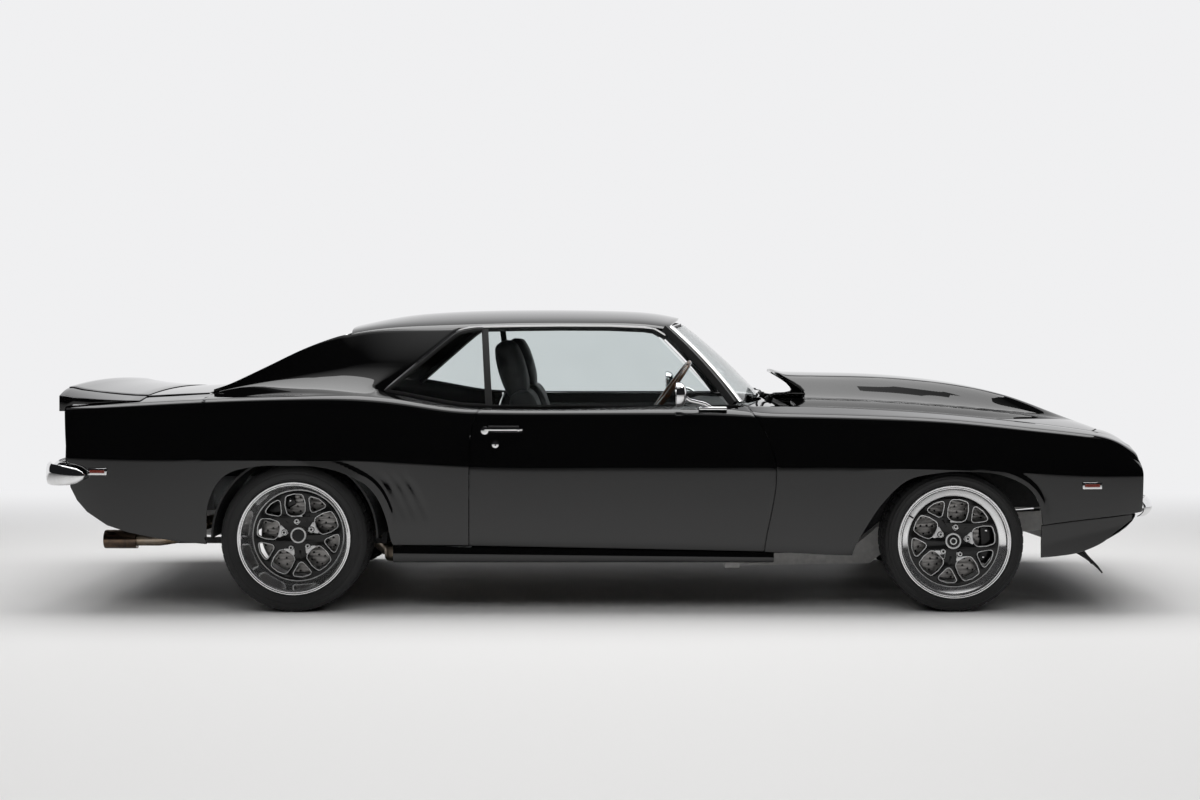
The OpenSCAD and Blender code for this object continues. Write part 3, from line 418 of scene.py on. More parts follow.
def modify(obj, kind, **settings):
    select(obj)
    bpy.ops.object.modifier_add(type=kind)
    added = obj.modifiers[-1]
    for key, value in settings.items():
        setattr(added, key, value)
    bpy.ops.object.modifier_apply(modifier=added.name)
    return obj


def weld(obj, distance=0.02, outward=False):
    mesh = bmesh.new()
    mesh.from_mesh(obj.data)
    bmesh.ops.remove_doubles(mesh, verts=mesh.verts, dist=distance * MM)
    bmesh.ops.dissolve_degenerate(mesh, edges=mesh.edges, dist=0.001 * MM)
    if outward:
        bmesh.ops.recalc_face_normals(mesh, faces=mesh.faces)
    mesh.to_mesh(obj.data)
    mesh.free()
    return obj


def soften(obj, angle=35):
    select(obj)
    bpy.ops.object.shade_smooth_by_angle(angle=math.radians(angle))
    return obj


def grid_faces(rows, start=0, closed=False, skip=lambda i, j: False):
    n, m = len(rows), len(rows[0])
    return [(start + i * m + j, start + (i + 1) * m + j, start + (i + 1) * m + (j + 1) % m,
        start + i * m + (j + 1) % m)
            for i in range(n - 1) for j in range(m if closed else m - 1) if not skip(i, j)]


def sheet(name, grids, finish, thickness=None, edge=None, angle=35):
    """A pressed panel from grids facing cross(row step, column step), with a wall and round edges."""
    points, faces = [], []
    for rows in grids:
        faces += grid_faces(rows, len(points))
        points += [p for row in rows for p in row]
    made = weld(make(name, points, faces, finish))
    t = sizes().panel_t if thickness is None else thickness * MM
    e = sizes().panel_edge if edge is None else edge * MM
    if t:
        modify(made, "SOLIDIFY", thickness=t, offset=-1, use_even_offset=False)
    if t and e:
        modify(made, "BEVEL", width=e, segments=2, limit_method="ANGLE", angle_limit=math.radians(60),
            use_clamp_overlap=True)
    return soften(made, angle)


def flipped(rows):
    """The same panel on the car's other side."""
    return [[(p[0], -p[1], p[2]) for p in row] for row in rows[::-1]]


def lathe(name, profile, centre, finish, steps=96, angle=35, shape=None):
    """A closed profile of (radius, place along Y) turned about an axle. shape may move a radius."""
    m = len(profile)
    points = []
    for i in range(steps):
        a = 2 * math.pi * i / steps
        for j, (r, y) in enumerate(profile):
            r = shape(i, j, r) if shape else r
            points.append((centre[0] + r * math.cos(a), centre[1] + y, centre[2] + r * math.sin(a)))
    faces = [(i * m + j, ((i + 1) % steps) * m + j, ((i + 1) % steps) * m + (j + 1) % m,
        i * m + (j + 1) % m)
             for i in range(steps) for j in range(m)]
    return soften(weld(make(name, points, faces, finish), outward=True), angle)


def sweep(name, path, ring, finish, closed=False, angle=50):
    """A bar along a path. ring is a radius, a section of (sideways, upwards), or gives one by place 0 to 1."""
    pts = [Vector(p) for p in path]
    n = len(pts)
    ahead = lambda i: ((pts[(i + 1) % n] - pts[i - 1]) if closed
        else (pts[min(i + 1, n - 1)] - pts[max(i - 1, 0)])).normalized()
    up = Vector((0, 0, 1)) if abs(ahead(0).z) < 0.9 else Vector((0, 1, 0))
    points, m = [], 0
    for i in range(n):
        t = ahead(i)
        up = (up - t * up.dot(t)).normalized()
        aside = t.cross(up)
        section = ring(i / (n - 1)) if callable(ring) else ring
        if not isinstance(section, (list, tuple)):
            section = [(section * math.cos(k * math.pi / 6), section * math.sin(k * math.pi / 6))
                for k in range(12)]
        m = len(section)
        points += [pts[i] + aside * a + up * b for a, b in section]
    rows = range(n if closed else n - 1)
    faces = [(i * m + k, i * m + (k + 1) % m, ((i + 1) % n) * m + (k + 1) % m, ((i + 1) % n) * m + k)
        for i in rows for k in range(m)]
    if not closed:
        faces += [tuple(range(m - 1, -1, -1)), tuple((n - 1) * m + k for k in range(m))]
    made = weld(make(name, points, faces, finish), outward=True)
    return soften(made, angle)


def place(*obj):
    for o in obj:
        select(o)
        bpy.ops.object.transform_apply(location=True, rotation=True, scale=True)
    return obj[0]


def block(name, low, high, finish, edge=3.0, segments=3, taper=None):
    """A box with rounded edges; taper moves its corners before they are rounded."""
    bpy.ops.object.select_all(action="DESELECT")
    middle = [(a + b) / 2 * MM for a, b in zip(low, high)]
    bpy.ops.mesh.primitive_cube_add(size=1, location=middle,
        scale=[abs(b - a) * MM for a, b in zip(low, high)])
    made = bpy.context.object
    made.name = made.data.name = name
    made.data.materials.append(finish)
    place(made)
    if taper:
        for v in made.data.vertices:
            v.co = Vector(taper(*(v.co / MM))) * MM
    if edge:
        modify(made, "BEVEL", width=edge * MM, segments=segments, limit_method="ANGLE",
            angle_limit=math.radians(30))
    return soften(made, 40)


def drum(name, centre, radius, depth, finish, axis="Y", edge=1.0, sides=48, radius2=None):
    """A cylinder or cone with rounded rims along an axis; radius2 is at the axis's positive end."""
    bpy.ops.object.select_all(action="DESELECT")
    turn = {"X": (0, math.pi / 2, 0), "Y": (-math.pi / 2, 0, 0), "Z": (0, 0, 0)}[axis]
    bpy.ops.mesh.primitive_cone_add(vertices=sides, radius1=radius * MM,
        radius2=(radius if radius2 is None else radius2) * MM,
                                    depth=depth * MM, location=[c * MM for c in centre], rotation=turn)
    made = bpy.context.object
    made.name = made.data.name = name
    made.data.materials.append(finish)
    place(made)
    if edge:
        modify(made, "BEVEL", width=edge * MM, segments=2, limit_method="ANGLE",
            angle_limit=math.radians(40))
    return soften(made, 40)


def carve(obj, cutter):
    modify(obj, "BOOLEAN", operation="DIFFERENCE", object=cutter, solver="EXACT")
    bpy.data.objects.remove(cutter)
    return obj


def joined(name, pieces):
    """Several pieces as one, each keeping its finish."""
    bpy.ops.object.select_all(action="DESELECT")
    for p in pieces:
        p.select_set(True)
    bpy.context.view_layer.objects.active = pieces[0]
    if len(pieces) > 1:
        bpy.ops.object.join()
    made = bpy.context.view_layer.objects.active
    made.name = made.data.name = name
    return made


def copied(obj, name, change, flip=False):
    """A copy with its own mesh, each corner moved by change."""
    twin = obj.copy()
    twin.data = obj.data.copy()
    twin.name = twin.data.name = name
    bpy.context.scene.collection.objects.link(twin)
    for v in twin.data.vertices:
        v.co = change(v.co)
    if flip:
        twin.data.flip_normals()
    return twin


def other_side(obj, name):
    return copied(obj, name, lambda v: Vector((v.x, -v.y, v.z)), flip=True)


def fit(obj, body, slot, *nodes):
    """The piece rides on a body and stands for the named nodes; slot is not used."""
    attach(obj, body)
    if nodes:
        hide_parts(*nodes)
    return obj


# ---- Body sections ----

# Sections of one body side. Columns: station, inset of the lower edge from the widest line, height of
# the lower edge, inset and height of the crease, sharpness, inset and height of the shoulder, inset and
# height of the shelf's inner edge
SIDE = [
    (-2285, 104, 500, 66, 632, 0.5, 99, 822, 298, 868),
    (-2100, 66, 360, 40, 632, 0.5, 78, 832, 298, 880),
    (-1850, 46, 300, 18, 632, 0.5, 66, 846, 298, 893),
    (-1600, 40, 281, 4, 632, 0.6, 60, 858, 290, 905),
    (-1306, 38, 270, 0, 632, 0.7, 56, 866, 228, 915),
    (-1050, 40, 268, 2, 630, 0.6, 56, 862, 188, 925),
    (-850, 42, 270, 8, 622, 0.4, 60, 842, 166, 900),
    (-640, 44, 275, 16, 612, 0.2, 66, 812, 148, 862),
    (-500, 46, 278, 20, 606, 0.15, 68, 806, 140, 852),
    (0, 48, 270, 22, 605, 0.1, 68, 804, 138, 852),
    (500, 46, 260, 20, 605, 0.15, 66, 798, 138, 852),
    (620, 44, 256, 18, 606, 0.2, 66, 794, 176, 850),
    (740, 42, 250, 14, 606, 0.25, 65, 792, 236, 849),
    (900, 39, 244, 11, 606, 0.35, 64, 789, 236, 846),
    (1100, 36, 240, 6, 602, 0.5, 62, 784, 236, 838),
    (1437, 34, 235, 0, 594, 0.6, 58, 768, 236, 815),
    (1750, 42, 300, 12, 580, 0.5, 64, 736, 236, 782),
    (2000, 60, 360, 34, 566, 0.4, 80, 708, 236, 750),
    (2150, 82, 390, 56, 566, 0.3, 100, 668, 236, 714),
    (2233, 106, 410, 80, 570, 0.2, 124, 612, 236, 672)]
LOW_IN, LOW_Z, CREASE_IN, CREASE_Z, SHARP, SHOULDER_IN, SHOULDER_Z, SHELF_IN, SHELF_Z = range(1, 10)
SECTION = {c: spline(SIDE, c) for c in range(1, 10)}
SECTION[SHELF_IN] = lambda x: look(SIDE, x, SHELF_IN)
SHOULDER_R = 34

# Wheel arch outlines round a point. Columns: angle up from forwards, radius
FRONT_ARCH = [(-9, 352), (12, 365), (33, 367), (54, 331), (75, 299), (90, 291), (112, 305),
              (133, 345), (154, 365), (172, 388), (188, 430)]
REAR_ARCH = [(-6, 397), (13, 390), (33, 380), (50, 346), (73, 313), (95, 303), (117, 335),
             (138, 384), (157, 386), (170, 376), (184, 378)]
FRONT_AXLE = (box_mm("tyre_front_right")[0].x + box_mm("tyre_front_right")[1].x) / 2
REAR_AXLE = (box_mm("tyre_rear_right")[0].x + box_mm("tyre_rear_right")[1].x) / 2
ARCHES = ((FRONT_ARCH, FRONT_AXLE, 297), (REAR_ARCH, REAR_AXLE, 310))
FLARE = 7
FLARE_BAND = 30


def section(x, column):
    return SECTION[column](min(max(x, SIDE[0][0]), SIDE[-1][0]))


def side_in(x, z):
    """How far the body's side lies from the centre line."""
    zc, yc = section(x, CREASE_Z), section(x, CREASE_IN)
    if z <= zc:
        k, t = section(x, SHARP), (zc - z) / (zc - section(x, LOW_Z))
        return HALF_W - yc - (section(x, LOW_IN) - yc) * (k * t + (1 - k) * t * t)
    t = (z - zc) / (section(x, SHOULDER_Z) - zc)
    return HALF_W - yc - (section(x, SHOULDER_IN) - yc) * (0.3 * t + 0.7 * t * t)


def flare(x, z):
    """The pressed band along the forward half of each wheel arch."""
    out = 0.0
    for table, cx, cz in ARCHES:
        a = math.degrees(math.atan2(z - cz, x - cx))
        if -12 < a < 95:
            past = math.hypot(x - cx, z - cz) - look(table, a)
            if past < FLARE_BAND + 14:
                out += FLARE * (1 - smooth((past - FLARE_BAND) / 12)) * smooth((88 - a) / 30)
    return out


def side_point(x, z, lift=0.0):
    return (x, -min(HALF_W, side_in(x, z) + flare(x, z)) - lift, z)


def shelf_point(x, w):
    """The rounded shoulder and the shelf inside it, w from 0 at the shoulder to 1 at the inner edge."""
    y0, z0 = HALF_W - section(x, SHOULDER_IN), section(x, SHOULDER_Z)
    y1, z1 = HALF_W - section(x, SHELF_IN), section(x, SHELF_Z)
    cy, cz = y0 - 4, z0 + SHOULDER_R * 0.8
    e = min(0.5, SHOULDER_R / max(1, cy - y1))
    ey, ez = lerp(cy, y1, e), lerp(cz, z1, e)
    if w < 0.5:
        t = w / 0.5
        return (x, -((1 - t) ** 2 * y0 + 2 * t * (1 - t) * cy + t * t * ey),
            (1 - t) ** 2 * z0 + 2 * t * (1 - t) * cz + t * t * ez)
    t = (w - 0.5) / 0.5
    return (x, -lerp(ey, y1, t), lerp(ez, z1, t))


def arch_line(which, angles):
    table, cx, cz = ARCHES[which]
    return [(cx + look(table, a) * math.cos(math.radians(a)),
        cz + look(table, a) * math.sin(math.radians(a))) for a in angles]


def polyline(points, step):
    out = [points[0]]
    for a, b in zip(points, points[1:]):
        n = max(1, round(math.dist(a, b) / step))
        out += [(lerp(a[0], b[0], k / n), lerp(a[1], b[1], k / n)) for k in range(1, n + 1)]
    return out


# Door cut lines in the side view. Columns: height, station
FRONT_CUT = [(250, 644), (330, 656), (430, 676), (540, 692), (650, 686), (766, 641), (816, 608), (860, 578)]
REAR_CUT = [(250, -577), (704, -572), (779, -562), (860, -533)]
GAP = 5


def front_cut(z):
    return look(FRONT_CUT, z)


def rear_cut(z):
    return look(REAR_CUT, z)


def tail_edge(z):
    return -2252 - (z - 600) * 0.1 if z > 600 else -2252 + (600 - z) * 0.08


def side_rows(bottom, top0, top1, end0, end1, low=12, high=14, shelf=10, reach=1.0):
    """Grid of a side panel between its bottom outline, the stations of its top and its two end lines."""
    b0, b1 = bottom[0][0], bottom[-1][0]
    rows = []
    for xb, zb in bottom:
        u = (xb - b0) / (b1 - b0)
        xt = lerp(top0, top1, u)

        def at(s, z):
            return lerp(xb, xt, s) + (1 - u) * (end0(z) - lerp(b0, top0, s)) + u * (end1(z)
                - lerp(b1, top1, s))

        row = []
        for k in range(low + high + 1):
            x = xb
            for _ in range(4):
                zc, zs = section(x, CREASE_Z), section(x, SHOULDER_Z)
                z = lerp(zb, zc, k / low) if k <= low else lerp(zc, zs, (k - low) / high)
                x = at((z - zb) / (zs - zb), z)
            row.append(side_point(x, z))
        for k in range(1, shelf + 1):
            w = reach * k / shelf
            z = shelf_point(xt, w)[2]
            row.append(shelf_point(at(1, z), w))
        rows.append(row)
    return rows


# Roof pillar and roof. Columns of PILLAR_TOP: station, height of its top beside the rear window
PILLAR_TOP = [(-1690, 918), (-1620, 942), (-1470, 1012), (-1299, 1094), (-1150, 1148), (-1105, 1152)]
PILLAR_FRONT, PILLAR_REAR, PILLAR_FRONT_TOP = -946, -1690, -643
ROOF_T = 18
# Columns: station, inset and height of the drip rail, height on the centre line
ROOF = [
    (-1105, 326, 1170, 1192), (-1044, 326, 1180, 1206), (-917, 326, 1190, 1232), (-739, 328, 1194, 1250),
    (-395, 330, 1203, 1260), (0, 330, 1205, 1256), (180, 332, 1200, 1240), (254, 334, 1190, 1224),
    (320, 338, 1178, 1208)]
ROOF_RAIL, ROOF_CROWN = spline(ROOF, 2), spline(ROOF, 3)
ROOF_END = 258
HEADER_BOW, REAR_BOW = 60, 22


def roof_point(x, f):
    bow = -REAR_BOW * (1 - f * f) * smooth((-700 - x) / 405) + HEADER_BOW * (1
        - f * f) * smooth((x + 300) / 558)
    y = f * (HALF_W - look(ROOF, x))
    z = lerp(ROOF_CROWN(x), ROOF_RAIL(x), abs(f) ** 2.4) - (ROOF_T - 2) * abs(f) ** 16
    return (x + bow, y, z)


def pillar_top(x):
    return look(PILLAR_TOP, x) if x < -1105 else ROOF_RAIL(x) - ROOF_T + 2


def pillar_point(x, z, base):
    s = min(1.0, max(0.0, (z - base[2]) / max(1.0, ROOF_RAIL(max(x, -1105)) - ROOF_T + 2 - base[2])))
    return (x, lerp(base[1], -(HALF_W - 327), s) - 40 * s * (1 - s), z)


def upper_rows(top_row):
    """From the shoulder row of the quarter panel up over the roof pillar."""
    inside = [p for p in top_row if PILLAR_REAR - 12 <= p[0] <= PILLAR_FRONT + 4]
    rows = []
    for p in inside:
        u = (p[0] - inside[0][0]) / (inside[-1][0] - inside[0][0])
        xt = lerp(PILLAR_REAR, PILLAR_FRONT_TOP, u)
        base = shelf_point(p[0], 1)
        zt = pillar_top(xt)
        up = [pillar_point(lerp(p[0], xt, t), lerp(base[2], zt, t), base)
            for t in [k / 16 for k in range(17)]]
        foot = [lerp(Vector(p), Vector(base), k / 4) for k in range(4)]
        line = foot + [Vector(q) for q in up]
        # A soft hollow where the pillar grows out of the shelf, fading to its two ends
        strength = smooth(u / 0.12) * smooth((1 - u) / 0.10)
        k_end = 11
        a, b, c = line[0], line[4], line[k_end]
        for k in range(1, k_end):
            t = k / k_end
            hollow = a * (1 - t) ** 2 + b * 2 * t * (1 - t) + c * t * t
            line[k] = line[k].lerp(hollow, strength)
        rows.append([tuple(q) for q in line])
    return rows


def mirrored_pair(name, rows_sets, finish, slot, bodies, nodes, **how):
    """The right and left pieces of one panel, each riding on its own body."""
    made = []
    for (side, s), body, node in zip(SIDES, bodies, nodes):
        grids = rows_sets if s > 0 else [flipped(r) for r in rows_sets]
        piece = sheet(f"{name}_{side}", grids, finish, **how)
        fit(piece, body, slot, *node)
        made.append(piece)
    return made


class CAR_OT_fenders(Operator):
    """Front fenders, with the band along the wheel arch"""
    bl_idname = "car.fenders"
    bl_label = "Front fenders"

    def execute(self, context):
        bottom = polyline([(644 + GAP, 252), (820, 244), (940, 238)], 24)[:-1] + arch_line(0,
            range(188, 8, -3)) + \
            polyline([(1796, 364), (1960, 384), (2110, 398), (2190, 406), (2231, 412)], 14)
        rows = side_rows(bottom, front_cut(850) + GAP, 2185, lambda z: front_cut(z) + GAP,
            lambda z: 2233 - max(0, z - 620) * 0.25)
        mirrored_pair("front_fender_skin", [rows], gloss_paint(), "body_paint", ("body", "body"),
                      (("front_fender_right",), ("front_fender_left",)))
        return {"FINISHED"}


GILLS = [((-933, 587), (-834, 374)), ((-892, 587), (-792, 374)), ((-846, 587), (-745, 374))]
GILL_W = 48


def gill_push(x, z):
    """Depth of the three slanted gills in a quarter panel: steep at the front edge, fading backwards."""
    deep = 0.0
    for (x0, z0), (x1, z1) in GILLS:
        t = (z0 - z) / (z0 - z1)
        if -0.06 < t < 1.06:
            front = lerp(x0, x1, t) + 16 * math.sin(math.pi * min(1, max(0, t))) + 12
            across = (front - x) / GILL_W
            if 0 < across < 1:
                ends = smooth((t + 0.06) / 0.32) * smooth((1.06 - t) / 0.42)
                deep = max(deep, smooth(across / 0.45) * (1 - across) * ends)
    return deep * sizes().gill_depth / MM * 1.4


class CAR_OT_quarters(Operator):
    """Rear fenders, roof pillars and roof, one smooth pressing, with the gills"""
    bl_idname = "car.quarters"
    bl_label = "Quarter panels and roof"

    def execute(self, context):
        bottom = polyline([(-2247, 517), (-2225, 462), (-2185, 414), (-2102, 360), (-2010, 331),
            (-1894, 308), (-1780, 291)], 18)[:-1] + \
            arch_line(1, range(184, 3, -3)) + polyline([(-906, 300), (-898, 281), (-583 - GAP + 6, 279)], 7)
        rows = side_rows(bottom, tail_edge(860), rear_cut(850) - GAP, tail_edge,
            lambda z: rear_cut(z) - GAP, low=30, reach=0.5, shelf=6)
        rows = [[(p[0], p[1] + gill_push(p[0], p[2]), p[2]) if p[2] < 640 else p for p in row]
            for row in rows]
        top = [row[-1] for row in rows]
        pillar = upper_rows(top)
        first, last = pillar[0][0][0], pillar[-1][0][0]

        def rest(points):
            return [[p] + [shelf_point(p[0], 0.5 + 0.5 * k / 4) for k in range(1, 5)] for p in points]

        behind, ahead = rest([p for p in top if p[0] <= first + 0.1]), rest([p for p in top
            if p[0] >= last - 0.1])
        side_grids = [rows, pillar, behind, ahead]
        stations = [row[-1][0] for row in pillar if row[-1][0] > -1106]
        stations = [-1105.0] + [x for x in stations if x > -1100] + spread(PILLAR_FRONT_TOP, ROOF_END,
            step=26)[1:]
        fs = [-math.cos(math.pi * k / 56) for k in range(57)]
        roof = [[roof_point(x, f) for f in fs] for x in stations]
        finish = gloss_paint()
        grids = side_grids + [flipped(g) for g in side_grids] + [roof]
        shell = sheet("quarters_and_roof", grids, finish)
        fit(shell, "body", "body_paint", "quarter_panel_right", "quarter_panel_left", "roof_panel")
        return {"FINISHED"}


def outline(rows):
    """The points round the edge of a grid."""
    return [row[0] for row in rows] + rows[-1] + [row[-1] for row in rows[::-1]] + rows[0][::-1]


class CAR_OT_doors(Operator):
    """Door skins with their inner faces and trim pads"""
    bl_idname = "car.doors"
    bl_label = "Doors"

    def execute(self, context):
        bottom = [(lerp(-577, 644, k / 70), lerp(280, 256, k / 70)) for k in range(71)]
        rows = side_rows(bottom, rear_cut(850), front_cut(850), rear_cut, front_cut)
        inner_y = -(HALF_W - section(0, SHELF_IN) - 28)
        for side, s in SIDES:
            skin = sheet("skin", [rows if s > 0 else flipped(rows)], gloss_paint())
            # Inner face, drawn in from the cut lines, and the pad that the passenger sees
            inner = [[(p[0] + lerp(14, -14, i / 70), s * inner_y,
                min(p[2] + 4 * (1 - min(1, j / 26)), 847)) for j, p in enumerate(row)] for i,
                row in enumerate(rows)]
            face = sheet("face", [inner if s < 0 else inner[::-1]], trim_black(), thickness=3, edge=0)
            band = [[(x, s * y, z) for x, y, z in outline(rows)], outline(inner)]
            closing = sheet("closing", [band if s < 0 else band[::-1]], gloss_paint(), thickness=2, edge=0)
            pad = block("pad", (-470, s * (inner_y + 2), 350), (430, s * (inner_y + 16), 800), dash_black(),
                edge=10, segments=4)
            rest = block("rest", (-360, s * (inner_y + 10), 600), (120, s * (inner_y + 58), 640),
                dash_black(), edge=14, segments=5)
            pull = sweep("pull", [(-60, s * (inner_y + 16), 700), (-60, s * (inner_y + 40), 704),
                (60, s * (inner_y + 40), 704), (60, s * (inner_y + 16), 700)], 6, chrome())
            door = joined(f"door_{side}_shell", [skin, face, closing, pad, rest, pull])
            fit(door, f"door_{side}", "body_paint", f"door_{side}")
        return {"FINISHED"}


# Hood with a scoop that rises to the rear. Columns: station, scoop height, scoop half width
SCOOP = [(738, 104, 372), (830, 99, 370), (1100, 102, 356), (1435, 101, 330), (1670, 87, 300),
         (1843, 60, 270), (2019, 16, 236), (2100, 2, 215), (2186, 0, 200)]
SCOOP_H, SCOOP_W = spline(SCOOP, 1), spline(SCOOP, 2)
HOOD_IN, HOOD_CROWN = 236, 30
HOOD_FRONT, HOOD_FRONT_SIDE = 2186, 2052
# Across the hood. Columns: share of the half width, station of the rear edge there
HOOD_REAR = [(0, 742), (0.22, 744), (0.38, 752), (0.43, 796), (0.48, 852), (0.525, 868), (0.57, 822),
    (0.66, 794), (0.85, 792), (1, 792)]
HOOD_SIDE = HALF_W - HOOD_IN - GAP


def scoop_share(x, y):
    t = abs(y) / SCOOP_W(x)
    if t < 0.72:
        return 1 - 0.06 * t * t
    if t > 1.06:
        return 0.0
    s = (1.06 - t) / 0.34
    return 0.97 * s * s * (3 - 2 * s)


def hood_z(x, y):
    tip = 9 * smooth((800 - x) / 60)
    share = scoop_share(x, y)
    return section(max(x, 900), SHELF_Z) + HOOD_CROWN * (1 - (y / (HALF_W - HOOD_IN)) ** 2) + (SCOOP_H(x)
        + tip) * share


class CAR_OT_hood(Operator):
    """Hood with its raised scoop, open at the rear"""
    bl_idname = "car.hood"
    bl_label = "Hood"

    def execute(self, context):
        fs = spread(-1, -0.7, -0.62, -0.38, 0.38, 0.62, 0.7, 1, step=0.022)
        rows = []
        for i in range(101):
            t = i / 100
            row = []
            for f in fs:
                x = lerp(look(HOOD_REAR, abs(f)), HOOD_FRONT - (HOOD_FRONT - HOOD_FRONT_SIDE) * f * f, t)
                row.append((x, f * HOOD_SIDE, hood_z(x, f * HOOD_SIDE)))
            rows.append(row)
        skin = sheet("skin", [rows], gloss_paint(), thickness=12)
        # Brace under the skin, seen when the hood is up
        brace = sheet("brace", [[[(x, y, hood_z(x, 0.98 * y) - 20 - (8 if 0.2 < (i / 24) < 0.8 else 0))
            for y in [k * 46 for k in range(-13, 14)]]
                                 for i, x in enumerate([lerp(1000, 2010, k / 24) for k in range(25)])]],
                                 satin_black(), thickness=3, edge=0)
        fit(joined("hood_shell", [skin, brace]), "hood", "body_paint", "hood")
        return {"FINISHED"}


# Trunk lid. Columns: station, height, crown
LID = [(-1712, 903, 10), (-1850, 897, 14), (-2000, 889, 16), (-2150, 880, 16), (-2228, 873, 16),
    (-2252, 866, 14), (-2266, 850, 6), (-2270, 796, 0)]
LID_IN = 298


class CAR_OT_trunk(Operator):
    """Trunk lid"""
    bl_idname = "car.trunk"
    bl_label = "Trunk lid"

    def execute(self, context):
        fs = [k / 24 for k in range(-24, 25)]
        stops = polyline([(r[0], r[1]) for r in LID], 9)
        crown = [(r[0], r[2]) for r in LID[::-1]]
        half = HALF_W - LID_IN - GAP
        rows = [[(x - 22 * (1 - f * f) * (1 if i == 0 else smooth(1 - i / 12)), f * half,
            z + look(crown, x) * (1 - f * f)) for f in fs] for i, (x, z) in enumerate(stops)]
        fit(sheet("trunk_lid_shell", [rows[::-1]], gloss_paint(), thickness=12, edge=3), "trunk_lid",
            "body_paint", "trunk_lid")
        return {"FINISHED"}


# Spoiler. Columns: station, height of its top over the panel, height of its underside
SPOILER = [(-1985, 2, 0), (-2040, 7, 0), (-2100, 15, 0), (-2150, 23, 0), (-2200, 32, 1), (-2262, 44, 3),
    (-2300, 53, 22), (-2322, 54, 36)]
SPLIT = HALF_W - LID_IN


def lid_z(x, f):
    table = [(r[0], r[1], r[2]) for r in LID[4::-1]]
    x = max(x, LID[4][0])
    return look(table, x) + look(table, x, 2) * (1 - f * f)


def shelf_z(x, y):
    a, b = shelf_point(x, 0.5), shelf_point(x, 1)
    return lerp(a[2], b[2], (y + a[1]) / (a[1] - b[1]))


def spoiler_ring(y, base, share):
    bow = 20 * (y / HALF_W) ** 2
    over = [(r[0] + bow, y, base(r[0]) + r[1] * (0.72 + 0.28 * share) + 1.5) for r in SPOILER]
    under = [(r[0] + bow, y, base(r[0]) + lerp(-26 if r[0] < -2290 else min(r[2], 8), r[2], share) + 1.5)
        for r in SPOILER[::-1]]
    return over + under


def loft(name, rings, finish, edge=2.0, angle=35):
    """A closed solid through rings of like points."""
    n, m = len(rings), len(rings[0])
    points = [p for ring in rings for p in ring]
    faces = grid_faces(rings, closed=True) + [tuple(range(m)),
        tuple((n - 1) * m + k for k in range(m - 1, -1, -1))]
    made = weld(make(name, points, faces, finish), outward=True)
    if edge:
        modify(made, "BEVEL", width=edge * MM, segments=2, limit_method="ANGLE",
            angle_limit=math.radians(50), use_clamp_overlap=True)
    return soften(made, angle)


class CAR_OT_spoiler(Operator):
    """Tail spoiler in three pieces: the middle on the lid, the ends on the rear fenders"""
    bl_idname = "car.spoiler"
    bl_label = "Spoiler"

    def execute(self, context):
        middle = [spoiler_ring(y, lambda x: lid_z(x, y / (SPLIT - GAP)), 1)
            for y in [lerp(-1, 1, k / 24) * (SPLIT - 3) for k in range(25)]]
        fit(loft("spoiler_middle", middle, gloss_paint()), "trunk_lid", "body_paint", "spoiler")
        ends = []
        for _, s in SIDES:
            rings = []
            for k in range(13):
                t = k / 12
                y = lerp(SPLIT + 3, -shelf_point(-2200, 0.52)[1], t)
                rings.append([(p[0], -s * y, p[2]) for p in spoiler_ring(y,
                    lambda x: shelf_z(max(x, -2262), y) + 2 * t, 1 - t * t)])
            ends.append(loft("end", rings, gloss_paint()))
        fit(joined("spoiler_side_pieces", ends), "body", "body_paint", "spoiler_ends")
        return {"FINISHED"}


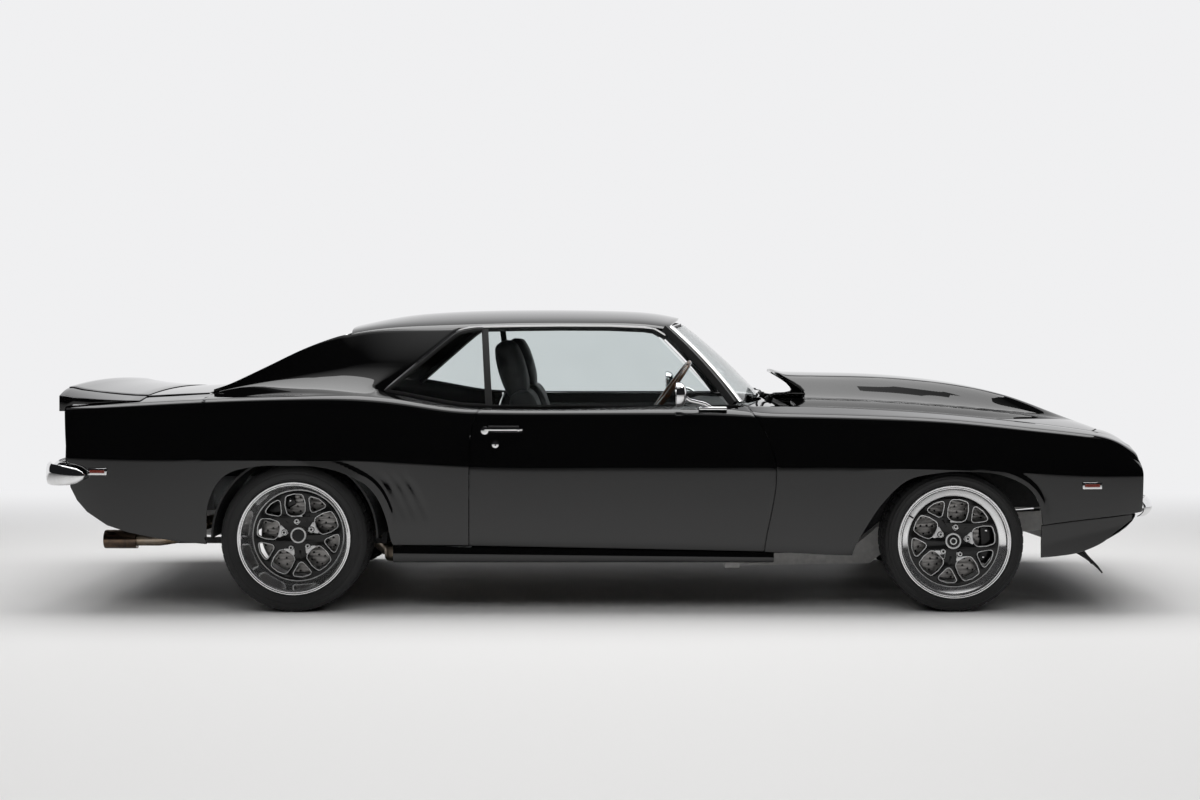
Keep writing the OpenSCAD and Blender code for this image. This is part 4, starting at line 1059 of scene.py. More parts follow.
class CAR_OT_nose(Operator):
    """Nose panel over the grille, front valance and chin blade with its struts"""
    bl_idname = "car.nose"
    bl_label = "Nose and valance"

    def execute(self, context):
        fs = [k / 30 for k in range(-30, 31)]
        half = HALF_W - HOOD_IN - 1
        rows = []
        for i in range(25):
            s = i / 24
            row = []
            for f in fs:
                x0 = HOOD_FRONT + GAP + 2 - (HOOD_FRONT - HOOD_FRONT_SIDE) * f * f
                x1 = 2318 - 92 * f * f
                x = lerp(x0, x1, s)
                z = lerp(hood_z(min(x0, HOOD_FRONT), f * half), lerp(668, 652, f * f),
                    0.7 * s * s + 0.3 * s)
                row.append((x, f * half, z))
            rows.append(row)
        lip = [[(p[0] + 6 * math.sin(a), p[1], p[2] - 6 + 6 * math.cos(a)) for p in rows[-1]]
            for a in [math.radians(k * 30) for k in range(4)]]
        lip += [[(p[0], p[1], p[2] - 22) for p in lip[-1]]]
        fit(sheet("nose_skin", [rows, lip], gloss_paint(), thickness=8), "body", "body_paint", "nose_panel")
        pieces = []
        # Side pieces carry on the wheel arch below the fender
        low = [(1796, 226), (1870, 232), (1960, 246), (2060, 286), (2130, 340), (2190, 380)]
        top = [(1796, 362), (1960, 381), (2110, 395), (2190, 403)]
        for _, s in SIDES:
            rows = []
            for k in range(41):
                x = lerp(1798, 2188, k / 40)
                rows.append([side_low(x, lerp(look(low, x), look(top, x), j / 12), s) for j in range(13)])
            pieces.append(sheet("side", [rows if s > 0 else rows[::-1]], gloss_paint(), thickness=8))
        bow = lambda f: 70 * (1 - f * f)
        wide = HALF_W - 106
        front = [[(x + bow(f), f * wide, z) for x, z in [(2206, 404), (2204, 392), (2192, 372), (2168, 348),
            (2136, 324), (2096, 300), (2062, 284)]] for f in fs]
        pieces.append(sheet("front", [[r[::-1] for r in front]], gloss_paint(), thickness=8))
        chin = [[(x + 60 * (1 - f * f), f * (HALF_W - 96), z) for x,
            z in [(2062, 154), (2052, 168), (2038, 186), (2020, 204), (2000, 226), (1978, 254)]]
            for f in fs]
        pieces.append(sheet("chin", [[r[::-1] for r in chin]], satin_black(), thickness=7, edge=2.5))
        for s in (-1, 1):
            for y in (0.35, 0.8):
                start = (2040 + 60 * (1 - y * y), s * y * HALF_W * 0.9, 176)
                pieces.append(sweep("strut", [start, (start[0] - 66, start[1], 262)], 5, satin_black()))
        fit(joined("front_valance_and_chin", pieces), "body", "body_paint", "front_valance")
        return {"FINISHED"}


def side_low(x, z, s):
    return (x, -s * (side_in(x, max(z, section(x, LOW_Z) - 30)) + 1 - 0.0003 * max(0, 380 - z) ** 1.6), z)


class CAR_OT_tail(Operator):
    """Tail panel, its lamps and the rounded pan below"""
    bl_idname = "car.tail"
    bl_label = "Tail"

    def execute(self, context):
        half = lambda z: side_in(-2240, z) - 14
        x_face = -2256
        rows = [[(x_face, k / 40 * half(z), z) for k in range(-40, 41)] for z in spread(526, 790, step=12)]
        face = sheet("face", [[r[::-1] for r in rows]], satin_black(), thickness=8, edge=0)
        for y in (-88.9, 88.9):
            carve(face, drum("hole", (x_face, y, 700), 3.2, 60, satin_black(), axis="X", edge=0, sides=16))
        line = [(-2243, 523), (-2236, 492), (-2222, 460), (-2204, 434), (-2182, 412), (-2145, 384),
            (-2100, 362), (-2010, 334)]
        pan_rows = [[(x + 8 * f * f, f * (HALF_W - 124), z) for f in [k / 30 for k in range(-30, 31)]]
            for x, z in line]
        pan = sheet("pan", [pan_rows], gloss_paint(), thickness=8)
        rim = sweep("bright rim", [(x_face - 3, y, z) for y,
            z in rounded([(-half(640) + 30, 648), (half(640) - 30, 648), (half(770) - 30, 776),
                (-half(770) + 30, 776)], 26)], 3.5, chrome(), closed=True)
        stops = [drum("stop", (x_face + 6, s * 420, 794), 4, 8, trim_black(), axis="Z") for s in (-1, 1)]
        fit(joined("tail_face", [face, pan, rim] + stops), "body", "body_paint", "tail_panel")
        lamps = []
        for s in (-1, 1):
            for k in range(3):
                y0 = 372 + k * 158
                lens = block("lens", (x_face - 10, s * y0, 666), (x_face - 0.5, s * (y0 + 144), 758),
                    red_lens(), edge=5, segments=3)
                ribs = [block("rib", (x_face - 11.4, s * (y0 + 6), z),
                    (x_face - 9, s * (y0 + 138), z + 2.2), red_lens(), edge=0.6, segments=1)
                    for z in range(676, 752, 9)]
                edge = sweep("edge", [(x_face - 9, s * y, z) for y,
                    z in rounded([(y0, 666), (y0 + 144, 666), (y0 + 144, 758), (y0, 758)], 9)], 2.6,
                    chrome(), closed=True)
                lamps += [lens, edge] + ribs
        fit(joined("tail_lamp_lenses", lamps), "body", "red_lens", "tail_lamps")
        return {"FINISHED"}


def rounded(corners, r, steps=6):
    """A closed outline with round corners."""
    out = []
    n = len(corners)
    for i in range(n):
        a, b, c = Vector(corners[i - 1]), Vector(corners[i]), Vector(corners[(i + 1) % n])
        u, v = (a - b).normalized(), (c - b).normalized()
        reach = min(r / math.tan(max(0.1, u.angle(v) / 2)), (a - b).length * 0.45, (c - b).length * 0.45)
        p, q = b + u * reach, b + v * reach
        for k in range(steps + 1):
            t = k / steps
            out.append(tuple(p * (1 - t) ** 2 + b * 2 * t * (1 - t) + q * t * t))
    return out


class CAR_OT_sills(Operator):
    """Sills, cowl with thin dark blocks as painted shade for its grille slots, wipers, and the windshield's
    frame
    """
    bl_idname = "car.sills"
    bl_label = "Sills, cowl and windshield frame"

    def execute(self, context):
        sills = []
        for s in (-1, 1):
            rings = []
            for k in range(41):
                x = lerp(-896, 688, k / 40)
                top = lerp(277, 247, k / 40)
                rings.append([(x, s * y, z) for y, z in ((HALF_W - 54, top),
                    (HALF_W - 48, lerp(top, 206, 0.3)), (HALF_W - 46, lerp(top, 206, 0.6)),
                    (HALF_W - 52, 210), (HALF_W - 70, 204), (HALF_W - 120, 203), (HALF_W - 188, 207),
                    (HALF_W - 188, top))])
            sills.append(loft("sill", rings, gloss_paint()))
        fit(joined("sill_panels", sills), "body", "body_paint", "rockers")

        half = HALF_W - HOOD_IN - 1
        fs = [k / 30 for k in range(-30, 31)]
        rows = [[(lerp(690 - 134 * f * f + 6, 821, i / 10), f * half, lerp(858, 813, (i / 10) ** 0.8))
            for f in fs] for i in range(11)]
        cowl = [sheet("cowl", [rows], gloss_paint(), thickness=4)]
        cowl.append(block("firewall", (812, -half, 561), (822, half, 811), satin_black(), edge=1))
        # The cowl's grille slots are thin dark blocks laid on the panel: painted shade standing for the
        # openings
        for k in range(22):
            y = lerp(-420, 420, k / 21)
            cowl.append(block("slot", (748, y - 14, 838), (782, y + 14, 841.5), trim_black(), edge=1))
        for y0, y1 in ((70, -480), (600, 40)):
            foot = drum("foot", (742, y0, 850), 17, 22, satin_black(), axis="Z", edge=3)
            arm = sweep("arm", [(742, y0, 862), (730, lerp(y0, y1, 0.12), 874),
                (700, lerp(y0, y1, 0.5), 884), (688, lerp(y0, y1, 0.62), 888)], 5, chrome())
            blade = sweep("blade", [(lerp(684, 664, t), lerp(lerp(y0, y1, 0.28), y1, t), lerp(886, 896, t))
                for t in (0, 0.33, 0.66, 1)], [(-3, -7), (3, -7), (4, 3), (-4, 3)], trim_black())
            cowl += [foot, arm, blade]
        fit(joined("cowl_and_wipers", cowl), "body", "body_paint", "cowl_panel")

        frame_pieces, bright = [], []
        for s in (-1, 1):
            line = [screen_point(s, k / 16, 0) for k in range(17)]
            inner = [(x - 26, y + s * 10, z - 4) for x, y, z in line]
            frame_pieces.append(sweep("pillar", inner, [(-17, -16), (15, -20), (19, 0), (15, 17),
                (-15, 15)], satin_black()))
            bright.append(sweep("moulding", [(x + 1, y + s * 6, z + 2) for x, y, z in line],
                [(-15, -5), (14, -5), (17, 0), (11, 5), (-11, 5), (-17, 0)], chrome()))
        header = [(p[0] - 14, p[1], p[2] - 6) for p in [screen_point(f, 1.0, 0)
            for f in [k / 20 for k in range(-20, 21)]]]
        frame_pieces.append(sweep("header", header, [(-14, -20), (14, -14), (14, 5), (-14, 7)],
            satin_black()))
        bright.append(sweep("top moulding", [(p[0] + 8, p[1], p[2] + 3) for p in header],
            [(-6, -4), (6, -4), (6, 3), (-6, 3)], chrome()))
        fit(joined("windshield_surround", frame_pieces + bright), "body", "body_paint", "windshield_frame")
        return {"FINISHED"}


def screen_point(f, w, grow=0.0):
    """A point of the windshield, f across from -1 to 1 and w up from 0 to 1."""
    base = (690 - 134 * f * f, f * (HALF_W - 180), 868 - 2 * f * f)
    top = (330 - 62 * f * f, f * (HALF_W - 350), lerp(1200, 1184, f * f))
    bulge = 10 * w * (1 - w) * 4
    return (lerp(base[0], top[0], w) + bulge, lerp(base[1], top[1], w) * (1 + grow),
        lerp(base[2], top[2], w) + bulge * 0.7)


BELT_Z = 853.5
# Rear window. Columns: share of its height, station, height, half width
BACKLIGHT = [(0, -1684, 908, 617), (0.3, -1520, 986, 615), (0.7, -1290, 1090, 601), (1, -1128, 1160, 591)]


def glass_y(z):
    return HALF_W - 148 - (z - BELT_Z) * 0.54 + 10 * (z - BELT_Z) * (1200 - z) / 30000


def side_glass(low, high, steps=24):
    """Right-hand side glass between a bottom line and a top line, each given by points (station, height)."""
    rows = []
    for i in range(steps + 1):
        a, b = look(low, lerp(low[0][0], low[-1][0], i / steps)), look(high,
            lerp(high[0][0], high[-1][0], i / steps))
        xa, xb = lerp(low[0][0], low[-1][0], i / steps), lerp(high[0][0], high[-1][0], i / steps)
        rows.append([(lerp(xa, xb, j / 10), -glass_y(lerp(a, b, j / 10)), lerp(a, b, j / 10))
            for j in range(11)])
    return rows


class CAR_OT_glass(Operator):
    """Windshield, rear window and the side glass with their seals"""
    bl_idname = "car.glass"
    bl_label = "Glass"

    def execute(self, context):
        fs = [-math.cos(math.pi * k / 40) for k in range(41)]
        front = [[screen_point(f, 0.012 + 0.955 * j / 16) for f in fs] for j in range(17)]
        fit(sheet("windshield_glass", [front[::-1]], glass_tint(), thickness=4, edge=0), "body",
            "tinted_glass", "windshield")
        back = []
        for i in range(17):
            s = i / 16
            back.append([(look(BACKLIGHT, s) - 24 * (1 - f * f) * (1 - s * 0.3), f * look(BACKLIGHT, s, 3),
                look(BACKLIGHT, s, 2) - 10 * f * f * s) for f in fs])
        glass = sheet("back", [back], glass_tint(), thickness=4, edge=0)
        rim = [back[0][k] for k in range(41)] + [row[-1] for row in back[1:]] + back[-1][-2::-1] + [row[0]
            for row in back[-2:0:-1]]
        seal = sweep("seal", rim, 3.5, chrome(), closed=True)
        fit(joined("rear_window_glass", [glass, seal]), "body", "tinted_glass", "rear_window")
        door_rows = side_glass([(-492, BELT_Z), (0, BELT_Z), (500, BELT_Z)],
            [(-520, 1176), (-200, 1182), (100, 1180), (190, 1176)])
        low = [(-940, 917), (-850, 902), (-700, 874), (-620, 862), (-514, 855)]
        high = [(-662, 1150), (-640, 1160), (-600, 1170), (-570, 1175), (-541, 1176)]
        quarter_rows = side_glass(low, high, 16)
        for side, s in SIDES:
            rows = door_rows if s > 0 else flipped(door_rows)
            pane = sheet("pane", [rows], glass_tint(), thickness=4, edge=0)
            belt = sweep("belt", [(x, -s * (glass_y(BELT_Z) + 7), BELT_Z + 1)
                for x in (-520, -200, 200, 546)], [(-5, -3), (5, -3), (5, 3), (-5, 3)], trim_black())
            strip = sweep("strip", [(lerp(-500, -529, t), -s * (glass_y(lerp(BELT_Z, 1176, t)) + 1),
                lerp(BELT_Z, 1176, t)) for t in [k / 8 for k in range(9)]],
                [(-11, -4), (11, -4), (11, 4), (-11, 4)], satin_black())
            fit(joined(f"door_window_{side}", [pane, belt, strip]), f"door_{side}", "tinted_glass",
                f"door_glass_{side}")
        quarters = []
        for _, s in SIDES:
            pane = sheet("pane", [quarter_rows if s > 0 else flipped(quarter_rows)], glass_tint(),
                thickness=4, edge=0)
            strip = sweep("strip", [(lerp(-513, -541, t), -s * (glass_y(lerp(856, 1174, t)) + 1),
                lerp(856, 1174, t)) for t in [k / 8 for k in range(9)]],
                [(-5, -4), (5, -4), (5, 4), (-5, 4)], trim_black())
            frame_line = [(p[0], -s * (glass_y(p[2]) + 2), p[2])
                for p in [row[0] for row in quarter_rows[::-1]] + quarter_rows[0]
                + [row[-1] for row in quarter_rows]]
            frame_bar = sweep("frame", frame_line, [(-9, -5), (9, -5), (9, 5), (-9, 5)], satin_black())
            quarters += [pane, strip, frame_bar]
        fit(joined("quarter_windows", quarters), "body", "tinted_glass", "quarter_glass")
        return {"FINISHED"}


class CAR_OT_trim(Operator):
    """Drip rails, side markers, and the seals round the side windows"""
    bl_idname = "car.trim"
    bl_label = "Trim"

    def execute(self, context):
        pieces = []
        r = sizes().trim_d / MM / 2
        for _, s in SIDES:
            rail = [(-946, 917), (-930, 934), (-800, 1046), (-700, 1130), (-668, 1155), (-643, 1172),
                (-600, 1182), (-540, 1186), (-395, 1189), (-200, 1191), (0, 1190), (150, 1184), (200, 1176),
                (244, 1150)]
            line = polyline(rail, 22)
            pts = []
            for x, z in line:
                base = shelf_point(min(x, PILLAR_FRONT), 1)
                y = pillar_point(x, z, base)[1] if x < PILLAR_FRONT_TOP else -(HALF_W - look(ROOF, x) + 3)
                pts.append((x, s * (y - 3), z))
            pieces.append(sweep("rail", pts, [(-r, -r), (r, -r), (r, r), (-r, r)], chrome()))
            header = [(x, y + 12 * s, z - 12) for x, y, z in pts]
            pieces.append(sweep("seal", header, [(-12, -9), (12, -9), (12, 9), (-12, 9)], trim_black()))
            for x0, z0, lens in ((1966, 512, 83), (-2165, 570, 83)):
                middle, height = x0 + lens / 2, 29
                y = side_point(middle, z0 + height / 2)[1]
                slope = (side_point(x0 + lens, z0 + 14)[1] - side_point(x0, z0 + 14)[1]) / lens
                tilt = lambda px, py, pz: (px, s * (py + slope * (px - middle)), pz)
                frame_block = block("marker frame", (x0, y - 7, z0), (x0 + lens, y + 12, z0 + height),
                    chrome(), edge=3, taper=tilt)
                lens_block = block("marker lens", (x0 + 9, y - 8.5, z0 + 8),
                    (x0 + lens - 9, y, z0 + height - 8), marker_lens(), edge=2, taper=tilt)
                pieces += [weld(frame_block, outward=True), weld(lens_block, outward=True)]
        fit(joined("body_trim", pieces), "body", "bright_chrome")
        return {"FINISHED"}


# Bumper blades. Columns: share of the half width, station, height of the blade
FRONT_BLADE = [(0, 2361, 84), (0.5, 2349, 84), (0.8, 2325, 82), (0.93, 2292, 78), (1, 2250, 72)]
REAR_BLADE = [(0, -2361, 92), (0.6, -2359, 92), (0.85, -2351, 92), (0.95, -2330, 88), (1, -2280, 76)]


class CAR_OT_bumpers(Operator):
    """Chrome bumpers, curved in plan and in section"""
    bl_idname = "car.bumpers"
    bl_label = "Bumpers"

    def execute(self, context):
        for name, table, zc, half, s in (("front_bumper", FRONT_BLADE, 424, 806, 1),
                ("rear_bumper", REAR_BLADE, 576, 866, -1)):
            rows = []
            for k in range(-48, 49):
                f = abs(k) / 48
                x, h = look(table, f), look(table, f, 2)
                rows.append([(x - s * 60 * (1 - math.cos(a)), half * k / 48,
                    zc + h / 2 * math.sin(a) / math.sin(1.05))
                    for a in [lerp(1.05, -1.05, j / 14) for j in range(15)]])
            if s > 0:
                rows = [r[::-1] for r in rows]
            blade = sheet("blade", [rows[::-1] if s < 0 else rows], chrome(), thickness=4, edge=1.2)
            ends = []
            if s < 0:
                for e in (-1, 1):
                    wrapped = [(-2346, 800, 92), (-2338, 846, 92), (-2316, 884, 90), (-2280, 905, 86),
                        (-2240, 911, 78), (-2204, 910, 64), (-2180, 906, 40), (-2172, 902, 16)]
                    rings = []
                    for q, (x, y, h) in enumerate(wrapped):
                        turn = smooth(q / 4)
                        rings.append([(x - (1 - turn) * 14 * math.cos(a), e * (y + turn * 14 * math.cos(a)),
                            zc - 8 * smooth(q / 5) + (h / 2) * math.sin(a))
                            for a in [2 * math.pi * k / 20 for k in range(20)]])
                    ends.append(loft("end", rings, chrome(), edge=0, angle=60))
            bolts = ends + [drum("bolt", (look(table, abs(y) / half) - s, y, zc), 8, 5, chrome(), axis="X",
                edge=1.5) for y in (-600, -300, 300, 600)]
            fit(joined(name + "_blade", [weld(blade)] + bolts), "body", "bright_chrome", name)
        return {"FINISHED"}


class CAR_OT_face(Operator):
    """Grille with its bars, and the round headlamps"""
    bl_idname = "car.face"
    bl_label = "Grille and headlamps"

    def execute(self, context):
        pieces = [block("back", (2196, -808, 471), (2203, 808, 599), satin_black(), edge=1)]
        for k in range(9):
            z = 478 + 14 * k
            pieces.append(block("bar", (2204, -572, z), (2226 + 12 * math.sin(math.pi * k / 8), 572, z + 5),
                trim_black(), edge=1.5))
        for k in range(-14, 15):
            pieces.append(block("upright", (2204, k * 40 - 2, 474), (2222, k * 40 + 2, 596), trim_black(),
                edge=1))
        pieces.append(sweep("rim", [(2228, y, z) for y,
            z in rounded([(-576, 474), (576, 474), (576, 597), (-576, 597)], 30)], 3.2, chrome(),
            closed=True))
        fit(joined("grille_face", pieces), "body", "grille_plastic", "grille")
        lamps = []
        for s in (-1, 1):
            y = s * 698
            lamps.append(lathe_x("bezel", [(89, 0), (89, 22), (85, 30), (80, 29), (76, 20), (74, 4),
                (74, 0)], (2206.5, y, 552), chrome()))
            lamps.append(lathe_x("lens", [(0, 24), (30, 23), (58, 19), (74, 12), (74, 9), (0, 9)],
                (2206.5, y, 552), clear_lens()))
            lamps.append(lathe_x("bowl", [(0, 1), (20, 1.5), (55, 4), (73, 8), (73, 0), (0, 0)],
                (2206.5, y, 552), polished_lip()))
        fit(joined("headlamp_units", lamps), "body", "lamp_glass", "headlamps")
        return {"FINISHED"}


def lathe_x(name, profile, centre, finish, steps=64):
    """A closed profile of (radius, place along X) turned about an axle along X."""
    m = len(profile)
    points = [(centre[0] + x, centre[1] + r * math.cos(2 * math.pi * i / steps),
        centre[2] + r * math.sin(2 * math.pi * i / steps))
              for i in range(steps) for r, x in profile]
    faces = [(i * m + j, ((i + 1) % steps) * m + j, ((i + 1) % steps) * m + (j + 1) % m,
        i * m + (j + 1) % m) for i in range(steps) for j in range(m)]
    return soften(weld(make(name, points, faces, finish), outward=True), 35)


class CAR_OT_handles(Operator):
    """Door handles and locks"""
    bl_idname = "car.handles"
    bl_label = "Door handles"

    def execute(self, context):
        for side, s in SIDES:
            y = side_point(-440, 756)[1]
            plate = drum("plate", (-514, y - 2, 755), 17, 14, chrome(), edge=4)
            bar = sweep("bar", [(lerp(-514, -358, t), y - lerp(9, 14, math.sin(math.pi * t)), 760)
                for t in [k / 12 for k in range(13)]],
                        [(-3, -5), (3, -5), (5, 0), (3, 5), (-3, 5), (-5, 0)], chrome())
            button = drum("button", (-374, y - 6, 759), 7, 20, chrome(), edge=2)
            # A dark plate on the door behind the handle bar: painted shade for the hollow behind the handle
            painted_recess_shade = block("painted_recess_shade", (-500, y - 1.5, 738), (-372, y + 6, 774), satin_black(), edge=3)
            lock_y = side_point(-469, 698)[1]
            lock = drum("lock", (-469, lock_y - 2, 698), 15, 12, chrome(), edge=3)
            # The keyhole is a small dark block on the lock face: painted shade in place of an opening
            key = block("key", (-471, lock_y - 9, 692), (-467, lock_y - 7, 704), satin_black(), edge=0.4,
                segments=1)
            handle = joined("handle_right", [plate, bar, button, painted_recess_shade, lock, key])
            if s < 0:
                handle = moved_over(handle, "handle_left")
            fit(handle, f"door_{side}", "bright_chrome")
        return {"FINISHED"}


def moved_over(obj, name):
    """The piece itself, mirrored to the car's left side."""
    twin = other_side(obj, name)
    bpy.data.objects.remove(obj)
    return twin


class CAR_OT_mirrors(Operator):
    """Round door mirrors on their stems"""
    bl_idname = "car.mirrors"
    bl_label = "Mirrors"

    def execute(self, context):
        for side, s in SIDES:
            low, high = box_mm(f"mirror_{side}")
            foot_x, foot_y, foot_z = 444, -(HALF_W - 96), shelf_point(444, 0.62)[2]
            cx, cy, cz = low.x + 22, -948 + 53, high.z - 55
            foot = block("foot", (foot_x - 68, foot_y - 18, foot_z - 6),
                (foot_x + 52, foot_y + 20, foot_z + 9), chrome(), edge=7, segments=4)
            stem = sweep("stem", [(foot_x - 10, foot_y, foot_z + 2),
                (foot_x - 44, foot_y - 10, foot_z + 22), (cx + 34, cy + 10, cz - 24),
                (cx + 12, cy + 2, cz - 8)], 8, chrome())
            head = lathe_x("head", [(0, 24), (18, 23), (34, 18), (45, 9), (50.5, -2), (52, -12), (51, -20),
                (47, -22), (47, -17), (0, -17)], (cx, cy, cz), chrome(), steps=48)
            glass = lathe_x("glass", [(0, -17.2), (46.5, -17.2), (46.5, -18.6), (0, -18.6)], (cx, cy, cz),
                polished_lip(), steps=48)
            made = joined("mirror_right_unit", [foot, stem, head, glass])
            if s < 0:
                made = moved_over(made, "mirror_left_unit")
            fit(made, f"door_{side}", "bright_chrome", f"mirror_{side}")
        return {"FINISHED"}


# ---- Wheels ----

RIM_R = 236
FACE_R = 189
LUG_R = 60.3
FRONT_DISH, REAR_DISH = 34, 120
FRONT_RIM_W, REAR_RIM_W = 236, 304
FRONT_RIM_Y, REAR_RIM_Y = 898, 904
FRONT_HUB_Z, REAR_HUB_Z = 293, 308
SPOKE_T, DISC_GAP, DISC_R = 26, 30, 166


def filled(name, outlines, depth, edge, finish):
    """A flat plate across Y from closed outlines, the first its rim and the rest holes, with round edges."""
    curve = bpy.data.curves.new(name, "CURVE")
    curve.dimensions, curve.fill_mode = "2D", "BOTH"
    curve.extrude, curve.bevel_depth, curve.bevel_resolution, curve.offset = (depth / 2
        - edge) * MM, edge * MM, 1, -edge * MM
    for outline in outlines:
        line = curve.splines.new("POLY")
        line.points.add(len(outline) - 1)
        for point, (u, v) in zip(line.points, outline):
            point.co = (u * MM, v * MM, 0, 1)
        line.use_cyclic_u = True
    made = bpy.data.objects.new(name, curve)
    bpy.context.scene.collection.objects.link(made)
    select(made)
    bpy.ops.object.convert(target="MESH")
    made = bpy.context.object
    made.data.transform(Matrix.Rotation(math.pi / 2, 4, "X"))
    made.data.materials.clear()
    made.data.materials.append(finish)
    weld(made, 0.05, outward=True)
    return made


def turned(points, a):
    c, s = math.cos(a), math.sin(a)
    return [(u * c - v * s, u * s + v * c) for u, v in points]


def circle(r, n=64, centre=(0, 0)):
    return [(centre[0] + r * math.cos(2 * math.pi * k / n), centre[1] + r * math.sin(2 * math.pi * k / n))
        for k in range(n)]


WINDOW = [(86, -24), (96, -37), (132, -41), (168, -35), (173, 0), (168, 35), (132, 41), (96, 37), (86, 24),
    (83, 0)]
NOTCH = [(107, 0), (166, -44), (174, 0), (166, 44)]
POCKET = [(40, 0), (84, -31), (82, 0), (84, 31)]


def wheel_face(dish, lug_a):
    """Spokes with bright window edges, lug pockets, cap and lug nuts, its centre at the origin, facing -Y."""
    turn = math.radians(lug_a)
    step = math.radians(72)
    windows = [turned(rounded(WINDOW, 15, 4), turn + k * step) for k in range(5)]
    notches = [turned(rounded(NOTCH, 15, 4), turn + (k + 0.5) * step) for k in range(5)]
    face = filled("spokes", [circle(FACE_R, 128)] + windows + notches, 24, 3.2, spoke_black())
    face.data.materials.append(machined())
    for p in face.data.polygons:
        c = p.center / MM
        r = math.hypot(c.x, c.z)
        if p.normal.y < -0.15 and p.normal.y > -0.985 and r < FACE_R - 5:
            p.material_index = 1
    # The face sinks a little towards the hub
    for v in face.data.vertices:
        r = math.hypot(v.co.x, v.co.z) / MM
        v.co.y += (12 + 5 * math.cos(math.pi * min(1, r / FACE_R))) * MM
    soften(face, 40)
    pieces = [face]
    for k in range(5):
        a = turn + k * step
        plate = filled("pocket", [turned(rounded(POCKET, 7, 3), a),
            circle(12.5, 20, (LUG_R * math.cos(a), LUG_R * math.sin(a)))], 5, 1.2, machined())
        plate.data.transform(Matrix.Translation((0, 2.2 * MM, 0)))
        soften(plate, 40)
        x, z = LUG_R * math.cos(a), LUG_R * math.sin(a)
        seat = drum("seat", (x, 8, z), 13, 8, spoke_black(), edge=0.5, sides=24)
        nut = drum("nut", (x, -1, z), 10.5, 18, machined(), edge=2, sides=6)
        tip = drum("tip", (x, -10, z), 5, 2.2, spoke_black(), edge=0.6, sides=16)
        slot_a = a + step / 2
        rib = block("rib", (64, -5.5, -4.5), (100, 3, 4.5), spoke_black(), edge=2.2)
        rib.data.transform(Matrix.Rotation(-slot_a, 4, "Y") @ Matrix.Translation((0, 4.5 * MM, 0)))
        pieces += [plate, seat, nut, tip, rib]
    hub = lathe("hub", [(0, 10), (44, 10), (44, 1.5), (41, 0), (36, 1), (0, 1)], (0, 0, 0), spoke_black(),
        steps=64)
    cap = lathe("cap", [(0, 3), (33, 3), (33, -4), (31, -6), (27.5, -6), (26.5, -4), (0, -4.5)], (0, 0, 0),
        machined(), steps=64)
    badge = lathe("cap centre", [(0, -3)] + ([(26, -3), (26, -5), (19, -6.4), (17, -6), (15, -7), (9, -8),
        (0, -8)] if dish < 60 else [(26, -3), (26, -5.2), (0, -5.6)]), (0, 0, 0), spoke_black(), steps=64)
    pieces += [hub, cap, badge]
    if dish < 60:
        pieces.append(lathe("cap ring", [(14.5, -6), (14.5, -7.6), (11, -8.4), (10, -8), (10, -6)],
            (0, 0, 0), machined(), steps=64))
    return pieces


def disc_plate(radius):
    """A brake disc's outer face, drilled in slanted rows."""
    n = sizes().disc_holes
    holes = []
    for j, r in enumerate((96, 118, 140, 156)):
        for k in range(n):
            a = 2 * math.pi * (k + j / 3) / n
            holes.append(circle(4.6, 8, (r * math.cos(a), r * math.sin(a))))
    return filled("disc", [circle(radius, 96), circle(78, 48)] + holes, 8, 0.8, disc_steel())


